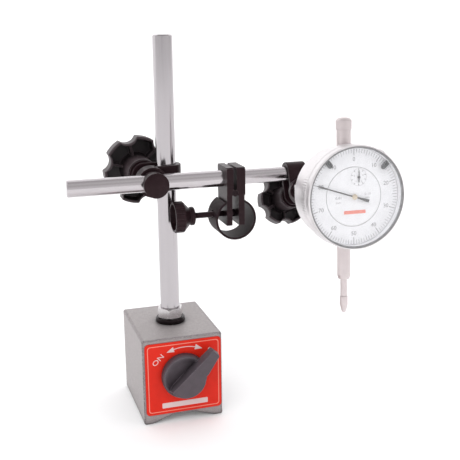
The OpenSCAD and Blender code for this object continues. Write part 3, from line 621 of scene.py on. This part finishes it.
plate = slab("label_plate", WORLD, inset(0, 2.4), LABEL_FRONT, front_y + SUNK)
piece(plate, "base", "label", LABEL_RED, "switch_label", edge=0.12, segments=2)
border = band("label_border", WORLD, inset(1.5, 1.9), inset(2.05, 1.5), *LABEL_PRINT)
piece(border, "base", "label", LABEL_LINE, edge=0.02, segments=1)
arrow = slab("label_arrow", WORLD, arrow_outline(), *LABEL_PRINT)
piece(arrow, "base", "label", LABEL_PALE, edge=0.02, segments=1)
on_word = lettering("label_on", WORLD, "ON", 4.4, -15.4, 41.9, LABEL_PRINT[0], LABEL_INK + SUNK,
                    turn=44, stretch=1.25)
piece(on_word, "base", "label", LABEL_PALE)
off_word = lettering("label_off", WORLD, "0", 3.0, 16.6, 45.2, LABEL_PRINT[0], LABEL_INK + SUNK, turn=-40)
piece(off_word, "base", "label", LABEL_PALE)
bar = slab("label_bar", WORLD, round_rect(-13.7, 9.8, 15.2, 13.2, 0.5, 4), *LABEL_PRINT)
piece(bar, "base", "label", LABEL_PALE, edge=0.02, segments=1)

# Rear plug: a turned disc with a ring and a centre mark.
plug_low, plug_high = ((v / MM).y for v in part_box("rear_plug"))
plug_profile = [
    (0, plug_low), (14.4, plug_low), (14.5, plug_high - 0.8), (14.1, plug_high - 0.3),
    (13.6, plug_high - 0.2), (12.0, plug_high - 0.2), (11.8, plug_high - 0.5), (11.2, plug_high - 0.5),
    (11.0, plug_high - 0.2), (1.6, plug_high - 0.2), (1.1, plug_high - 0.9), (0, plug_high - 1.2),
]
plug = lathe("rear_disc", local_frame(Vector((0, 0, SWITCH_AT.z)), X, Y, Z), plug_profile)
piece(plug, "base", "base_paint", ZINC, "rear_plug")


# ---------- Switch lever ----------

DISC_R = 14.0
DISC_BACK = -30.75
RIM_Y = -36.6
FACE_Y = -41.6
HANDLE_R = 11.5
HOLLOW_DEPTH = 2.3
POINTER_X = 13.5  # the handle's pointer stands free of the disc beyond this x


def lever_edge(x):
    """Height of the handle's tapering free edge above the switch's axis."""
    return 1.95 - 0.105 * x


def lever_outline(grow):
    """The raised handle, grown outwards: the disc's part below the free edge, and a tapering pointer."""
    r = HANDLE_R + 0.6 * grow
    points = []
    for angle in range(167, 319, 5):
        x, z = r * math.cos(math.radians(angle)), r * math.sin(math.radians(angle))
        points.append((x, min(z, lever_edge(x) + grow)))
    points += [(10.2 + 0.3 * grow, -8.3 - 0.5 * grow), (22.0 + 0.2 * grow, -6.35 - 0.5 * grow)]
    points += arc(22.3 + 0.3 * grow, -5.2, 1.15 + 0.2 * grow, 290, 350, 4)
    points += arc(22.6 + 0.3 * grow, -1.3 + 0.8 * grow, 1.1, 10, 75, 5)
    points.append((21.6, lever_edge(21.6) + grow))
    return points


def thumb_hollow(x, z, r):
    """Depth of the disc's face below its rim: a scoop that deepens towards the handle."""
    side = max(0.0, min(1.0, (DISC_R - 1.0 - r) / 4.0))
    towards_handle = max(0.0, 12.5 - (z + 0.1 * x))
    return side * side * (3 - 2 * side) * min(HOLLOW_DEPTH, 0.3 + 0.18 * towards_handle)


def scooped_disc():
    """The lever's disc with the scoop in its face."""
    face_radii = [DISC_R - inwards for inwards in (0.9, 1.6, 2.1, 2.6, 3.4)] + [9.0, 7.0, 5.0, 3.0, 1.2, 0]
    profile = [
        (0, DISC_BACK), (DISC_R - 0.6, DISC_BACK), (DISC_R, -31.3), (DISC_R, -34.6), (DISC_R - 0.2, -35.4),
        (DISC_R - 0.5, -36.2),
    ]
    profile += [(r, RIM_Y) for r in face_radii]
    disc = lathe("lever_disc", SWITCH, profile, 128)
    inverse = SWITCH.inverted()
    for vertex in disc.data.vertices:
        at = inverse @ vertex.co
        if at.y < RIM_Y + 0.01:
            at.y += thumb_hollow(at.x, at.z, math.hypot(at.x, at.z))
            vertex.co = SWITCH @ at
    return disc


def handle_row(y, grow):
    """One ring of the handle's surface. The pointer flares less, and its back stays in front of the rim."""
    row = []
    for (x, z), (free_x, free_z) in zip(lever_outline(grow), lever_outline(min(grow, 1.0))):
        row.append((free_x, min(y, RIM_Y - 0.2), free_z) if free_x > POINTER_X else (x, y, z))
    return row


def lever_piece():
    """The disc with its scooped face, and the raised handle."""
    levels = (
        (RIM_Y + 3.6, 2.3), (RIM_Y + 1.0, 1.7), (RIM_Y - 1.4, 0.9), (RIM_Y - 3.6, 0.25),
        (FACE_Y + 0.5, 0.08), (FACE_Y + 0.15, -0.1), (FACE_Y, -0.45),
    )
    disc = scooped_disc()
    rows = [handle_row(y, grow) for y, grow in levels]
    return join("switch_lever", [disc, skin("lever_handle", SWITCH, rows)])


piece(lever_piece(), "magnet_switch", "lever_plastic", LEVER_PLASTIC, "switch_knob", edge=0.3, segments=3)


# ---------- Star knobs ----------

LOBES = 6
FIRST_VALLEY = 45  # degrees
CROWN = 1.4  # how far the ring round the insert stands beyond the lobes' far face


def star_radius(r, angle):
    """The outline's radius: six lobes on a circle, with six equal scallops between them."""
    valley_at = 1.143 * r
    scallop = 0.315 * r
    step = math.radians(360 / LOBES)
    off = ((angle - math.radians(FIRST_VALLEY)) % step + step) % step
    off = min(off, step - off)
    side = valley_at * math.sin(off)
    reach = r
    if side < scallop:
        reach = valley_at * math.cos(off) - math.sqrt(max(0.0, scallop ** 2 - side ** 2))
    soft = 0.035 * r
    blend = max(0.0, min(1.0, 0.5 + 0.5 * (reach - r) / soft))
    return reach * (1 - blend) + r * blend - soft * blend * (1 - blend)


def star_rib(place, a, inner, outer, thick, levels):
    """A rib in direction a from inner to outer; levels gives (y, width factor, rise of its outer end)."""
    corners = []
    for y, spread, outer_rise in levels:
        for along, side in ((inner, -1), (outer, -1), (outer, 1), (inner, 1)):
            x = along * math.cos(a) - side * spread * thick * math.sin(a)
            z = along * math.sin(a) + side * spread * thick * math.cos(a)
            corners.append((x, y + (outer_rise if along == outer else 0.0), z))
    return add_mesh("rib", place, corners, ring_faces(2, 4) + [(0, 1, 2, 3), (7, 6, 5, 4)])


def star_knob(name, place, r, hub_r, bore_r, y0, y1, y2):
    """A moulded star knob, hollow towards the front, with a hub and six ribs."""
    count = 240
    wall = 0.085 * r
    angles = [2 * math.pi * j / count for j in range(count)]
    edge = [star_radius(r, a) for a in angles]

    def loop(shrink, y):
        return [((e - shrink) * math.cos(a), y, (e - shrink) * math.sin(a)) for e, a in zip(edge, angles)]

    def circle(radius, y):
        return [(radius * math.cos(a), y, radius * math.sin(a)) for a in angles]

    floor = y2 - 2.6
    rows = [
        # the hub, from its end to the hollow's floor
        circle(hub_r - 1.2, y0), circle(hub_r - 0.35, y0 + 0.25), circle(hub_r, y0 + 0.9),
        circle(hub_r, y1 + 2.0), circle(hub_r + 0.3, floor - 1.2), circle(hub_r + 1.2, floor - 0.2),
        # the lobes' inside, from the floor to the lip
        loop(wall + 2.2, floor), loop(wall + 0.8, floor - 0.35), loop(wall + 0.15, floor - 1.4),
        loop(wall, y1 + 1.2), loop(wall * 0.9, y1 + 0.25), loop(wall * 0.62, y1), loop(wall * 0.3, y1 + 0.1),
        # the lobes' outside
        loop(0.08, y1 + 0.6), loop(0, y1 + 1.3), loop(0.15, (y1 + y2) / 2), loop(0.1, y2 - 1.6),
        loop(0.3, y2 - 0.7), loop(1.1, y2), loop(2.6, y2 + 0.35),
        # the far face, in to the insert
        circle(0.74 * r, y2 + 0.7), circle(0.62 * r, y2 + 1.3), circle(0.5 * r, y2 + CROWN),
        circle(0.46 * r, y2 + 1.0), circle(bore_r + 1.2, y2 + 0.9), circle(bore_r + 0.4, y2 + 0.4),
    ]
    parts = [skin(name, place, rows)]
    rib_levels = ((y1 + 3.4, 0.75, -1.6), (floor + 0.4, 1.15, 0.0))
    for i in range(LOBES):
        a = math.radians(FIRST_VALLEY + 360 / LOBES * i)
        parts.append(star_rib(place, a, hub_r - 0.5, star_radius(r, a) - wall + 0.4, 0.045 * r, rib_levels))
    return join(name, parts)


def place_star(name, node, joint, body, r, hub_r, bore_r, turn, depth):
    """A star knob that starts and ends along its joint's axis where the CAD knob does."""
    axis = joint_axis(joint)
    along = [(v.co - joint_place(joint)).dot(axis) / MM for v in frame["nodes"][node].data.vertices]
    y2 = max(along) - CROWN
    obj = star_knob(name, knob_frame(joint, turn), r, hub_r, bore_r, min(along), y2 - depth, y2)
    piece(obj, body, "knob_plastic", KNOB_PLASTIC, node, edge=0.0)


place_star("large_star", "star_knob_large", "large_knob_spin", "large_knob",
           r=21.6, hub_r=9.5, bore_r=6.0, turn=0, depth=11.0)
place_star("small_star", "star_knob_small", "small_knob_spin", "small_knob",
           r=16.3, hub_r=7.6, bore_r=4.6, turn=-19, depth=9.5)


# ---------- Fine screw: a real thread ----------

SCREW_R = 1.88
SCREW_PITCH = 0.7
SCREW_TIP_R = 1.28


def threaded_bar(name, place, r, pitch, y0, y1, steps=20):
    """A screw whose surface follows a helix, plain at both ends."""
    depth = 0.42 * pitch
    rows_per_pitch = 8
    rows = int((y1 - y0) / pitch * rows_per_pitch) + 1
    vertices = []
    for i in range(rows + 1):
        y = y0 + (y1 - y0) * i / rows
        fade = min(1.0, (y - y0) / pitch, (y1 - y) / pitch)
        for j in range(steps):
            a = 2 * math.pi * j / steps
            phase = (y / pitch + j / steps) % 1.0
            groove = abs(2 * phase - 1)
            radius = r - depth * fade * max(0.0, min(1.0, 1.35 * groove - 0.15)) - 0.25 * (1 - fade)
            vertices.append((radius * math.cos(a), y, radius * math.sin(a)))
    faces = ring_faces(rows + 1, steps)
    faces += [tuple(range(steps - 1, -1, -1)), tuple(range(rows * steps, (rows + 1) * steps))]
    return add_mesh(name, place, vertices, faces)


screw_low, screw_high = ((v / MM).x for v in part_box("fine_screw"))
screw_axis = joint_place("fine_screw_turn")
SCREW = local_frame(Vector((0, screw_axis.y, screw_axis.z)), Y, X, -Z)
thread = threaded_bar("thread", SCREW, SCREW_R, SCREW_PITCH, screw_low, screw_high - 1.27)
tip_profile = [
    (0, screw_high - 1.3), (SCREW_TIP_R, screw_high - 1.3), (SCREW_TIP_R, screw_high - 0.2),
    (1.1, screw_high - 0.02), (0, screw_high - 0.02),
]
fine_thread = join("fine_thread", [thread, lathe("tip", SCREW, tip_profile, 32)])
piece(fine_thread, "fine_adjuster", "blackened", BLACKENED, "fine_screw")


# ---------- Bezel ----------

BEZEL_PROFILE = [
    (26.05, -23.2), (28.9, -23.2), (29.5, -23.35), (29.85, -23.7), (29.9, -24.2), (29.9, -28.6),
    (29.75, -28.9), (29.6, -29.1), (29.6, -29.7), (29.75, -29.9), (29.88, -30.3), (29.9, -31.6),
    (29.85, -33.6), (29.65, -34.5), (29.4, -34.88), (29.2, -35.0), (29.05, -34.95), (28.97, -34.7),
    (28.96, -29.2), (26.05, -29.2), (26.05, -23.2),
]
KNURL_ROWS = range(4, 6)  # the profile's rear band
KNURL_LINES = 120
KNURL_DEPTH = 0.004  # as a share of the radius
WALL_OUTER_R = 28.94
WALL_INNER_R = 27.92
SEAL_BACK = -33.62
WALL_FRONT = -33.6
WALL_BACK = -29.82


def knurl(angle, index):
    """Fine grip lines round the rear band of the bezel."""
    if index in KNURL_ROWS:
        return 1 - KNURL_DEPTH * (0.5 + 0.5 * math.cos(angle * KNURL_LINES))
    return 1.0


bezel = lathe("bezel_rim", DIAL, BEZEL_PROFILE, 720, knurl)
piece(bezel, "bezel", "satin_chrome", SATIN, "bezel_ring")
seal_profile = [
    (WALL_OUTER_R, SEAL_BACK), (WALL_OUTER_R, -34.55), (28.75, -34.75), (28.3, -34.7), (28.05, -34.4),
    (WALL_INNER_R, -33.9), (WALL_INNER_R, SEAL_BACK), (WALL_OUTER_R, SEAL_BACK),
]
seal = lathe("crystal_seal", DIAL, seal_profile, 160)
piece(seal, "bezel", "gasket", GASKET, "crystal_gasket")
wall_profile = [
    (WALL_OUTER_R, WALL_BACK), (WALL_OUTER_R, WALL_FRONT), (WALL_INNER_R, WALL_FRONT),
    (WALL_INNER_R, WALL_BACK), (WALL_OUTER_R, WALL_BACK),
]
wall = lathe("dial_wall", DIAL, wall_profile, 160)
piece(wall, "bezel", "dial_white", DIAL_WHITE)


# ---------- Tubes on the plunger's axis ----------

SPINDLE_Y = -16.3  # the plunger's axis, in front of the lug's hole
SPINDLE = local_frame(DIAL @ Vector((0, SPINDLE_Y, 0)), DIAL_X, DIAL_Z, DIAL_X.cross(DIAL_Z))


def plunger_span(node):
    """Where a node begins and ends along the plunger's axis."""
    inverse = SPINDLE.inverted()
    along = [(inverse @ v.co).y for v in frame["nodes"][node].data.vertices]
    return min(along), max(along)


def stem_profile(low):
    """The mounting stem, bevelled at its foot, under a short collar."""
    top = -22.3
    return [
        (2.08, low + 0.15), (2.3, low), (3.25, low), (3.42, low + 0.15), (3.98, low + 2.1), (4.0, low + 2.5),
        (4.0, -31.0), (4.06, -30.6), (4.4, -30.45), (4.5, -30.3), (4.5, top), (2.08, top),
        (2.08, low + 0.15),
    ]


def dust_tube_profile(low, high):
    """The upper tube, with a grooved collar at its top."""
    return [
        (3.2, low), (4.0, low), (4.0, 27.8), (4.2, 27.85), (4.25, 28.0), (4.25, 29.4), (4.15, 29.5),
        (4.15, 29.7), (4.25, 29.8), (4.25, high), (3.2, high), (3.2, low),
    ]


def dust_cap_profile(low, high):
    """The domed cap, hollow from below."""
    return [
        (4.27, low + 0.1), (4.6, low), (4.75, low + 0.15), (4.75, high - 2.1), (4.68, high - 1.8),
        (4.35, high - 1.45), (4.0, high - 1.1), (3.7, high - 0.75), (2.9, high - 0.35), (1.6, high - 0.08),
        (0.0, high), (0.0, high - 2.3), (3.2, high - 2.3), (3.2, low + 1.9), (4.27, low + 1.9),
        (4.27, low + 0.1),
    ]


def contact_profile(low):
    """The contact point: a small ball end, a cone, and a shank with the spindle's hole."""
    return [
        (0, low), (0.45, low + 0.07), (0.8, low + 0.28), (1.05, low + 0.62), (1.1, low + 0.8),
        (1.3, low + 1.0), (2.28, low + 4.9), (2.35, low + 5.2), (2.35, low + 9.9), (2.25, low + 10.2),
        (2.05, low + 10.4), (2.0, low + 10.55), (1.22, low + 10.55), (1.22, low + 8.1), (0, low + 8.1),
    ]


def place_tube(name, node, body, profile, steps=64):
    """A piece turned round the plunger's axis, in place of a CAD node."""
    piece(lathe(name, SPINDLE, profile, steps), body, "satin_chrome", STEM_SATIN, node)


place_tube("stem_tube", "stem", "indicator", stem_profile(plunger_span("stem")[0]))
place_tube("upper_tube", "dust_tube", "indicator", dust_tube_profile(*plunger_span("dust_tube")))
place_tube("upper_cap", "dust_cap", "indicator", dust_cap_profile(*plunger_span("dust_cap")))
place_tube("tip_cone", "contact_point", "plunger", contact_profile(plunger_span("contact_point")[0]), 48)


# ---------- Dial: its printed marks are thin raised ink on the two faces ----------

DIAL_FRONT = -29.8
INK_FRONT = DIAL_FRONT - 0.03
INK_BACK = DIAL_FRONT + SUNK
INK_DEPTH = 0.05
SCALE_CIRCLE_R = 16.9
FIGURE_R = 21.3
COUNTER = (3.0, 11.0)
COUNTER_R = 4.9


def ticks(name, place, count, radii, width, centre=(0, 0)):
    """Radial marks, clockwise from the top: mark i spans radii(i), inner to outer, and is width(i) wide."""
    cx, cz = centre
    vertices, faces = [], []
    for i in range(count):
        a = math.pi / 2 - 2 * math.pi * i / count
        inner, outer = radii(i)
        half = width(i) / 2
        base = len(vertices)
        for y in (INK_FRONT, INK_BACK):
            for along, side in ((inner, -half), (outer, -half), (outer, half), (inner, half)):
                x = cx + along * math.cos(a) - side * math.sin(a)
                z = cz + along * math.sin(a) + side * math.cos(a)
                vertices.append((x, y, z))
        faces += [tuple(base + k for k in f) for f in
                  ((0, 1, 2, 3), (7, 6, 5, 4), (0, 4, 5, 1), (1, 5, 6, 2), (2, 6, 7, 3), (3, 7, 4, 0))]
    return add_mesh(name, place, vertices, faces)


def scale_radii(i):
    """Long marks at the tens, middling ones at the fives and short ones between."""
    if i % 10 == 0:
        return (23.5, 27.3)
    return (24.2 if i % 5 == 0 else 25.0, 27.3)


scale_marks = ticks("scale_marks", DIAL, 100, scale_radii, lambda i: 0.34 if i % 10 == 0 else 0.2)
piece(scale_marks, "bezel", "hand", DIAL_INK)
for tens in range(10):
    x, z = on_circle(0, 0, FIGURE_R, 90 - 36 * tens)
    digits = lettering(f"scale_{tens * 10}", DIAL, str(tens * 10), 3.3, x, z, INK_FRONT, INK_DEPTH)
    piece(digits, "bezel", "hand", DIAL_INK)
scale_circle = band("scale_circle", DIAL, circle_points(0, 0, SCALE_CIRCLE_R + 0.28, 120),
                    circle_points(0, 0, SCALE_CIRCLE_R + 0.1, 120), INK_FRONT, INK_BACK)
piece(scale_circle, "bezel", "hand", DIAL_INK)

counter_marks = ticks("counter_marks", DIAL, 10, lambda i: (3.8, COUNTER_R), lambda i: 0.34, COUNTER)
piece(counter_marks, "indicator", "hand", DIAL_INK)
counter_circle = band("counter_circle", DIAL, circle_points(*COUNTER, COUNTER_R + 0.05, 72),
                      circle_points(*COUNTER, COUNTER_R - 0.08, 72), INK_FRONT, INK_BACK)
piece(counter_circle, "indicator", "hand", DIAL_GREY_INK)
for unit in range(0, 10, 2):
    x, z = on_circle(*COUNTER, 2.9, 90 + 36 * unit)
    figure = lettering(f"counter_{unit}", DIAL, str(unit), 1.25, x, z, INK_FRONT, INK_DEPTH)
    piece(figure, "indicator", "hand", DIAL_INK)

for label_name, words, size, x, z, ink, stretch in (
    ("reading_value", "0.01", 2.0, -9.4, -0.4, DIAL_INK, 1.2),
    ("reading_unit", "mm", 1.8, -9.4, -2.9, DIAL_GREY_INK, 1.2),
    ("range_value", "0-10", 1.9, 8.6, 1.2, DIAL_GREY_INK, 1.1),
    ("range_unit", "mm", 1.6, 8.6, -0.9, DIAL_GREY_INK, 1.2),
):
    words_piece = lettering(label_name, DIAL, words, size, x, z, INK_FRONT, INK_DEPTH, stretch=stretch)
    piece(words_piece, "indicator", "hand", ink)
red_bar = slab("dial_red_bar", DIAL, round_rect(-6.2, -9.9, 7.4, -7.9, 0.4, 4), INK_FRONT, INK_BACK)
piece(red_bar, "indicator", "label", DIAL_RED)


# ---------- Hands ----------

def farthest_direction(node, centre=(0, 0)):
    """The direction in the dial's plane of a node's farthest point from centre, in degrees from x."""
    inverse = DIAL.inverted()
    best = max((inverse @ v.co for v in frame["nodes"][node].data.vertices),
               key=lambda p: math.hypot(p.x - centre[0], p.z - centre[1]))
    return math.degrees(math.atan2(best.z - centre[1], best.x - centre[0]))


def turned(place, centre, degrees):
    """place, moved to centre in its x-z plane and turned so that x points along degrees."""
    moved = place @ Matrix.Translation((centre[0], 0, centre[1]))
    return moved @ Matrix.Rotation(-math.radians(degrees), 4, "Y")


def mirrored(side):
    """An outline from one side, given as (x, distance from the middle line), and its mirror image."""
    return [(x, -half) for x, half in side] + [(x, half) for x, half in reversed(side)]


MAIN_HAND = turned(DIAL, (0, 0), farthest_direction("pointer_hand"))
main_side = [
    (-9.4, 0.85), (-8.2, 0.9), (-1.6, 0.42), (6.0, 0.42),
    (17.0, 0.36), (21.6, 0.62), (22.6, 0.42), (24.7, 0.05),
]
main_blade = slab("main_hand_blade", MAIN_HAND, mirrored(main_side), -31.2, -31.0)
piece(main_blade, "main_hand", "hand", HAND_GREY, "pointer_hand", edge=0.04, segments=2)
hub_profile = [
    (0, -31.75), (0.7, -31.72), (1.05, -31.5), (1.15, -31.3), (1.6, -31.25), (1.65, -31.1), (1.6, -30.92),
    (1.1, -30.9), (1.1, -30.4), (0, -30.4),
]
piece(lathe("main_hand_hub", DIAL, hub_profile, 48), "main_hand", "brass", HUB_PALE)

COUNTER_HAND = turned(DIAL, COUNTER, farthest_direction("counter_hand", COUNTER))
small_side = [(-2.9, 0.28), (-0.6, 0.3), (2.6, 0.2), (4.1, 0.04)]
small_blade = slab("counter_hand_blade", COUNTER_HAND, mirrored(small_side), -30.42, -30.24)
small_hub_profile = [(0, -30.62), (0.5, -30.6), (0.75, -30.5), (0.8, -30.3), (0.75, -30.05), (0, -30.05)]
small_hub = lathe("small_hub", COUNTER_HAND, small_hub_profile, 40)
small_hand = join("counter_hand_blade", [small_blade, small_hub])
piece(small_hand, "counter", "hand", HAND_GREY, "counter_hand")


# ---------- Tolerance markers ----------

def marker_piece(name, node, body):
    """A rounded tab standing on the seal's inside, with a raised middle."""
    place = turned(DIAL, (0, 0), farthest_direction(node))
    inner, outer, half = 22.5, 27.75, 1.55
    middle, half_length = 25.2, 2.6
    outline = arc(inner + half, 0, half, 100, 260, 10) + [(outer, -half), (outer, half)]
    rows = []
    for y, shrink in ((-31.35, 0.0), (-31.9, 0.05), (-32.2, 0.25), (-32.3, 0.6)):
        narrow = 1 - shrink / half_length
        rows.append([((x - middle) * narrow + middle, y, z * (1 - shrink / half)) for x, z in outline])
    piece(skin(name, place, rows), body, "marker", MARKER, node)


marker_piece("left_tab", "limit_marker_left", "left_marker")
marker_piece("right_tab", "limit_marker_right", "right_marker")


# ---------- Stage ----------

def floor_piece():
    """A pale floor that curves up into a backdrop far behind, lit a little from within towards the back."""
    material = Nodes("studio_floor")
    material.colour(material.ramp(material.noise(8, 3), tones((0.90, 0.90, 0.905), 0.01)))
    material.roughness(material.noise(20, 3), 0.75, 0.9)
    material.set(Emission_Color=(1, 1, 1, 1))
    depth = material.tree.nodes.new("ShaderNodeSeparateXYZ")
    material.link(material.coords, depth.inputs[0])
    glow = material.tree.nodes.new("ShaderNodeMapRange")
    for socket, value in (("From Min", 0.1), ("From Max", 1.6), ("To Min", 0.10), ("To Max", 0.42)):
        glow.inputs[socket].default_value = value
    material.link(depth.outputs["Y"], glow.inputs["Value"])
    material.link(glow.outputs[0], material.shader.inputs["Emission Strength"])
    half, front, bend, radius, height = 12.0, -12.0, 2.2, 1.2, 9.0
    turns = [math.radians(6 * i) for i in range(1, 16)]
    profile = [(front, 0.0), (bend, 0.0)]
    profile += [(bend + radius * math.sin(a), radius * (1 - math.cos(a))) for a in turns]
    profile.append((bend + radius, height))
    vertices = [(x, y, z) for y, z in profile for x in (-half, half)]
    faces = [(2 * i, 2 * i + 1, 2 * i + 3, 2 * i + 2) for i in range(len(profile) - 1)]
    mesh = bpy.data.meshes.new("studio_floor")
    mesh.from_pydata(vertices, [], faces)
    for polygon in mesh.polygons:
        polygon.use_smooth = True
    obj = bpy.data.objects.new("studio_floor", mesh)
    obj.data.materials.append(material.mat)
    bpy.context.scene.collection.objects.link(obj)


floor_piece()


def area_light(name, place, target, size, power):
    """A square soft light that shiny parts don't show; they show the surround instead."""
    lamp = bpy.data.lights.new(name, "AREA")
    lamp.energy = power
    lamp.shape = "SQUARE"
    lamp.size = size
    obj = bpy.data.objects.new(name, lamp)
    obj.visible_glossy = False
    obj.location = place
    obj.rotation_euler = (Vector(target) - Vector(place)).to_track_quat("-Z", "Y").to_euler()
    bpy.context.scene.collection.objects.link(obj)


AIM = (0.02, 0.0, 0.12)
area_light("key", (-1.5, -1.5, 2.4), AIM, 2.2, 34)
area_light("fill", (2.2, -1.4, 1.2), AIM, 2.0, 11)
area_light("top", (0.9, 0.6, 2.4), AIM, 1.8, 12)

# The surround's brightness by direction: once round it, as a share of a turn, and from level to straight up.
AROUND = [
    (0.0, 0.92), (0.09, 0.95), (0.107, 0.42), (0.118, 0.45), (0.13, 0.86), (0.185, 0.9), (0.193, 0.2),
    (0.202, 0.22), (0.215, 0.8), (0.30, 0.95), (0.47, 0.9), (0.495, 0.32), (0.515, 0.4), (0.54, 0.95),
    (1.0, 0.92),
]
UPWARDS = [(0.0, 0.95), (0.35, 0.88), (0.58, 0.66), (0.72, 0.72), (0.86, 0.86), (1.0, 0.62)]
OVERHEAD = 0.9  # takes the place of the upright bands high up


def studio_world():
    """A pale surround, darker in a few upright bands and half way up, which polished rods show as streaks."""
    world = bpy.data.worlds.new("studio")
    world.use_nodes = True
    tree = world.node_tree
    tree.nodes.clear()

    def node(kind, *inputs, **settings):
        made = tree.nodes.new(kind)
        for key, value in settings.items():
            setattr(made, key, value)
        for socket, value in zip(made.inputs, inputs):
            if isinstance(value, (int, float)):
                socket.default_value = value
            elif value is not None:
                tree.links.new(value, socket)
        return made

    def ramp(factor, stops):
        made = node("ShaderNodeValToRGB", factor)
        elements = made.color_ramp.elements
        while len(elements) < len(stops):
            elements.new(0.5)
        for element, (position, level) in zip(elements, stops):
            element.position = position
            element.color = (level, level, level, 1)
        return made.outputs[0]

    direction = node("ShaderNodeSeparateXYZ", node("ShaderNodeTexCoord").outputs["Generated"]).outputs
    around = node("ShaderNodeMath", direction["Y"], direction["X"], operation="ARCTAN2").outputs[0]
    turn = node("ShaderNodeMath", around, 1 / (2 * math.pi), 0.5, operation="MULTIPLY_ADD").outputs[0]
    bands = ramp(turn, AROUND)
    height = ramp(direction["Z"], UPWARDS)
    fade = ramp(direction["Z"], [(0.35, 0.0), (0.65, 1.0)])
    flat = node("ShaderNodeMix", fade, None, bands, OVERHEAD, data_type="FLOAT").outputs[0]
    level = node("ShaderNodeMath", flat, height, operation="MULTIPLY").outputs[0]
    back = node("ShaderNodeBackground", None, level)
    back.inputs["Color"].default_value = (1.0, 0.985, 0.99, 1)
    tree.links.new(back.outputs[0], node("ShaderNodeOutputWorld").inputs[0])
    bpy.context.scene.world = world


studio_world()


# ---------- Camera ----------

CAMERA_AT = (-0.112545, -0.483397, 0.243599)
CAMERA_TURN = (-17.569, 14.664, -0.564)  # azimuth, elevation and roll in degrees
LENS = 64.45
SENSOR = 36


def camera():
    """The camera, turned by its azimuth, then its elevation, then its roll."""
    data = bpy.data.cameras.new("camera")
    data.sensor_width = SENSOR
    data.lens = LENS
    obj = bpy.data.objects.new("camera", data)
    azimuth, elevation, roll = map(math.radians, CAMERA_TURN)
    forward = Vector((
        -math.sin(azimuth) * math.cos(elevation),
        math.cos(azimuth) * math.cos(elevation),
        -math.sin(elevation),
    ))
    flat = Vector((math.cos(azimuth), math.sin(azimuth), 0))
    rise = flat.cross(forward)
    right = flat * math.cos(roll) + rise * math.sin(roll)
    up = right.cross(forward)
    obj.matrix_world = Matrix.Translation(CAMERA_AT) @ Matrix((right, up, -forward)).transposed().to_4x4()
    bpy.context.scene.collection.objects.link(obj)
    bpy.context.scene.camera = obj


camera()
bpy.context.scene.view_settings.view_transform = "Standard"
bpy.context.view_layer.update()
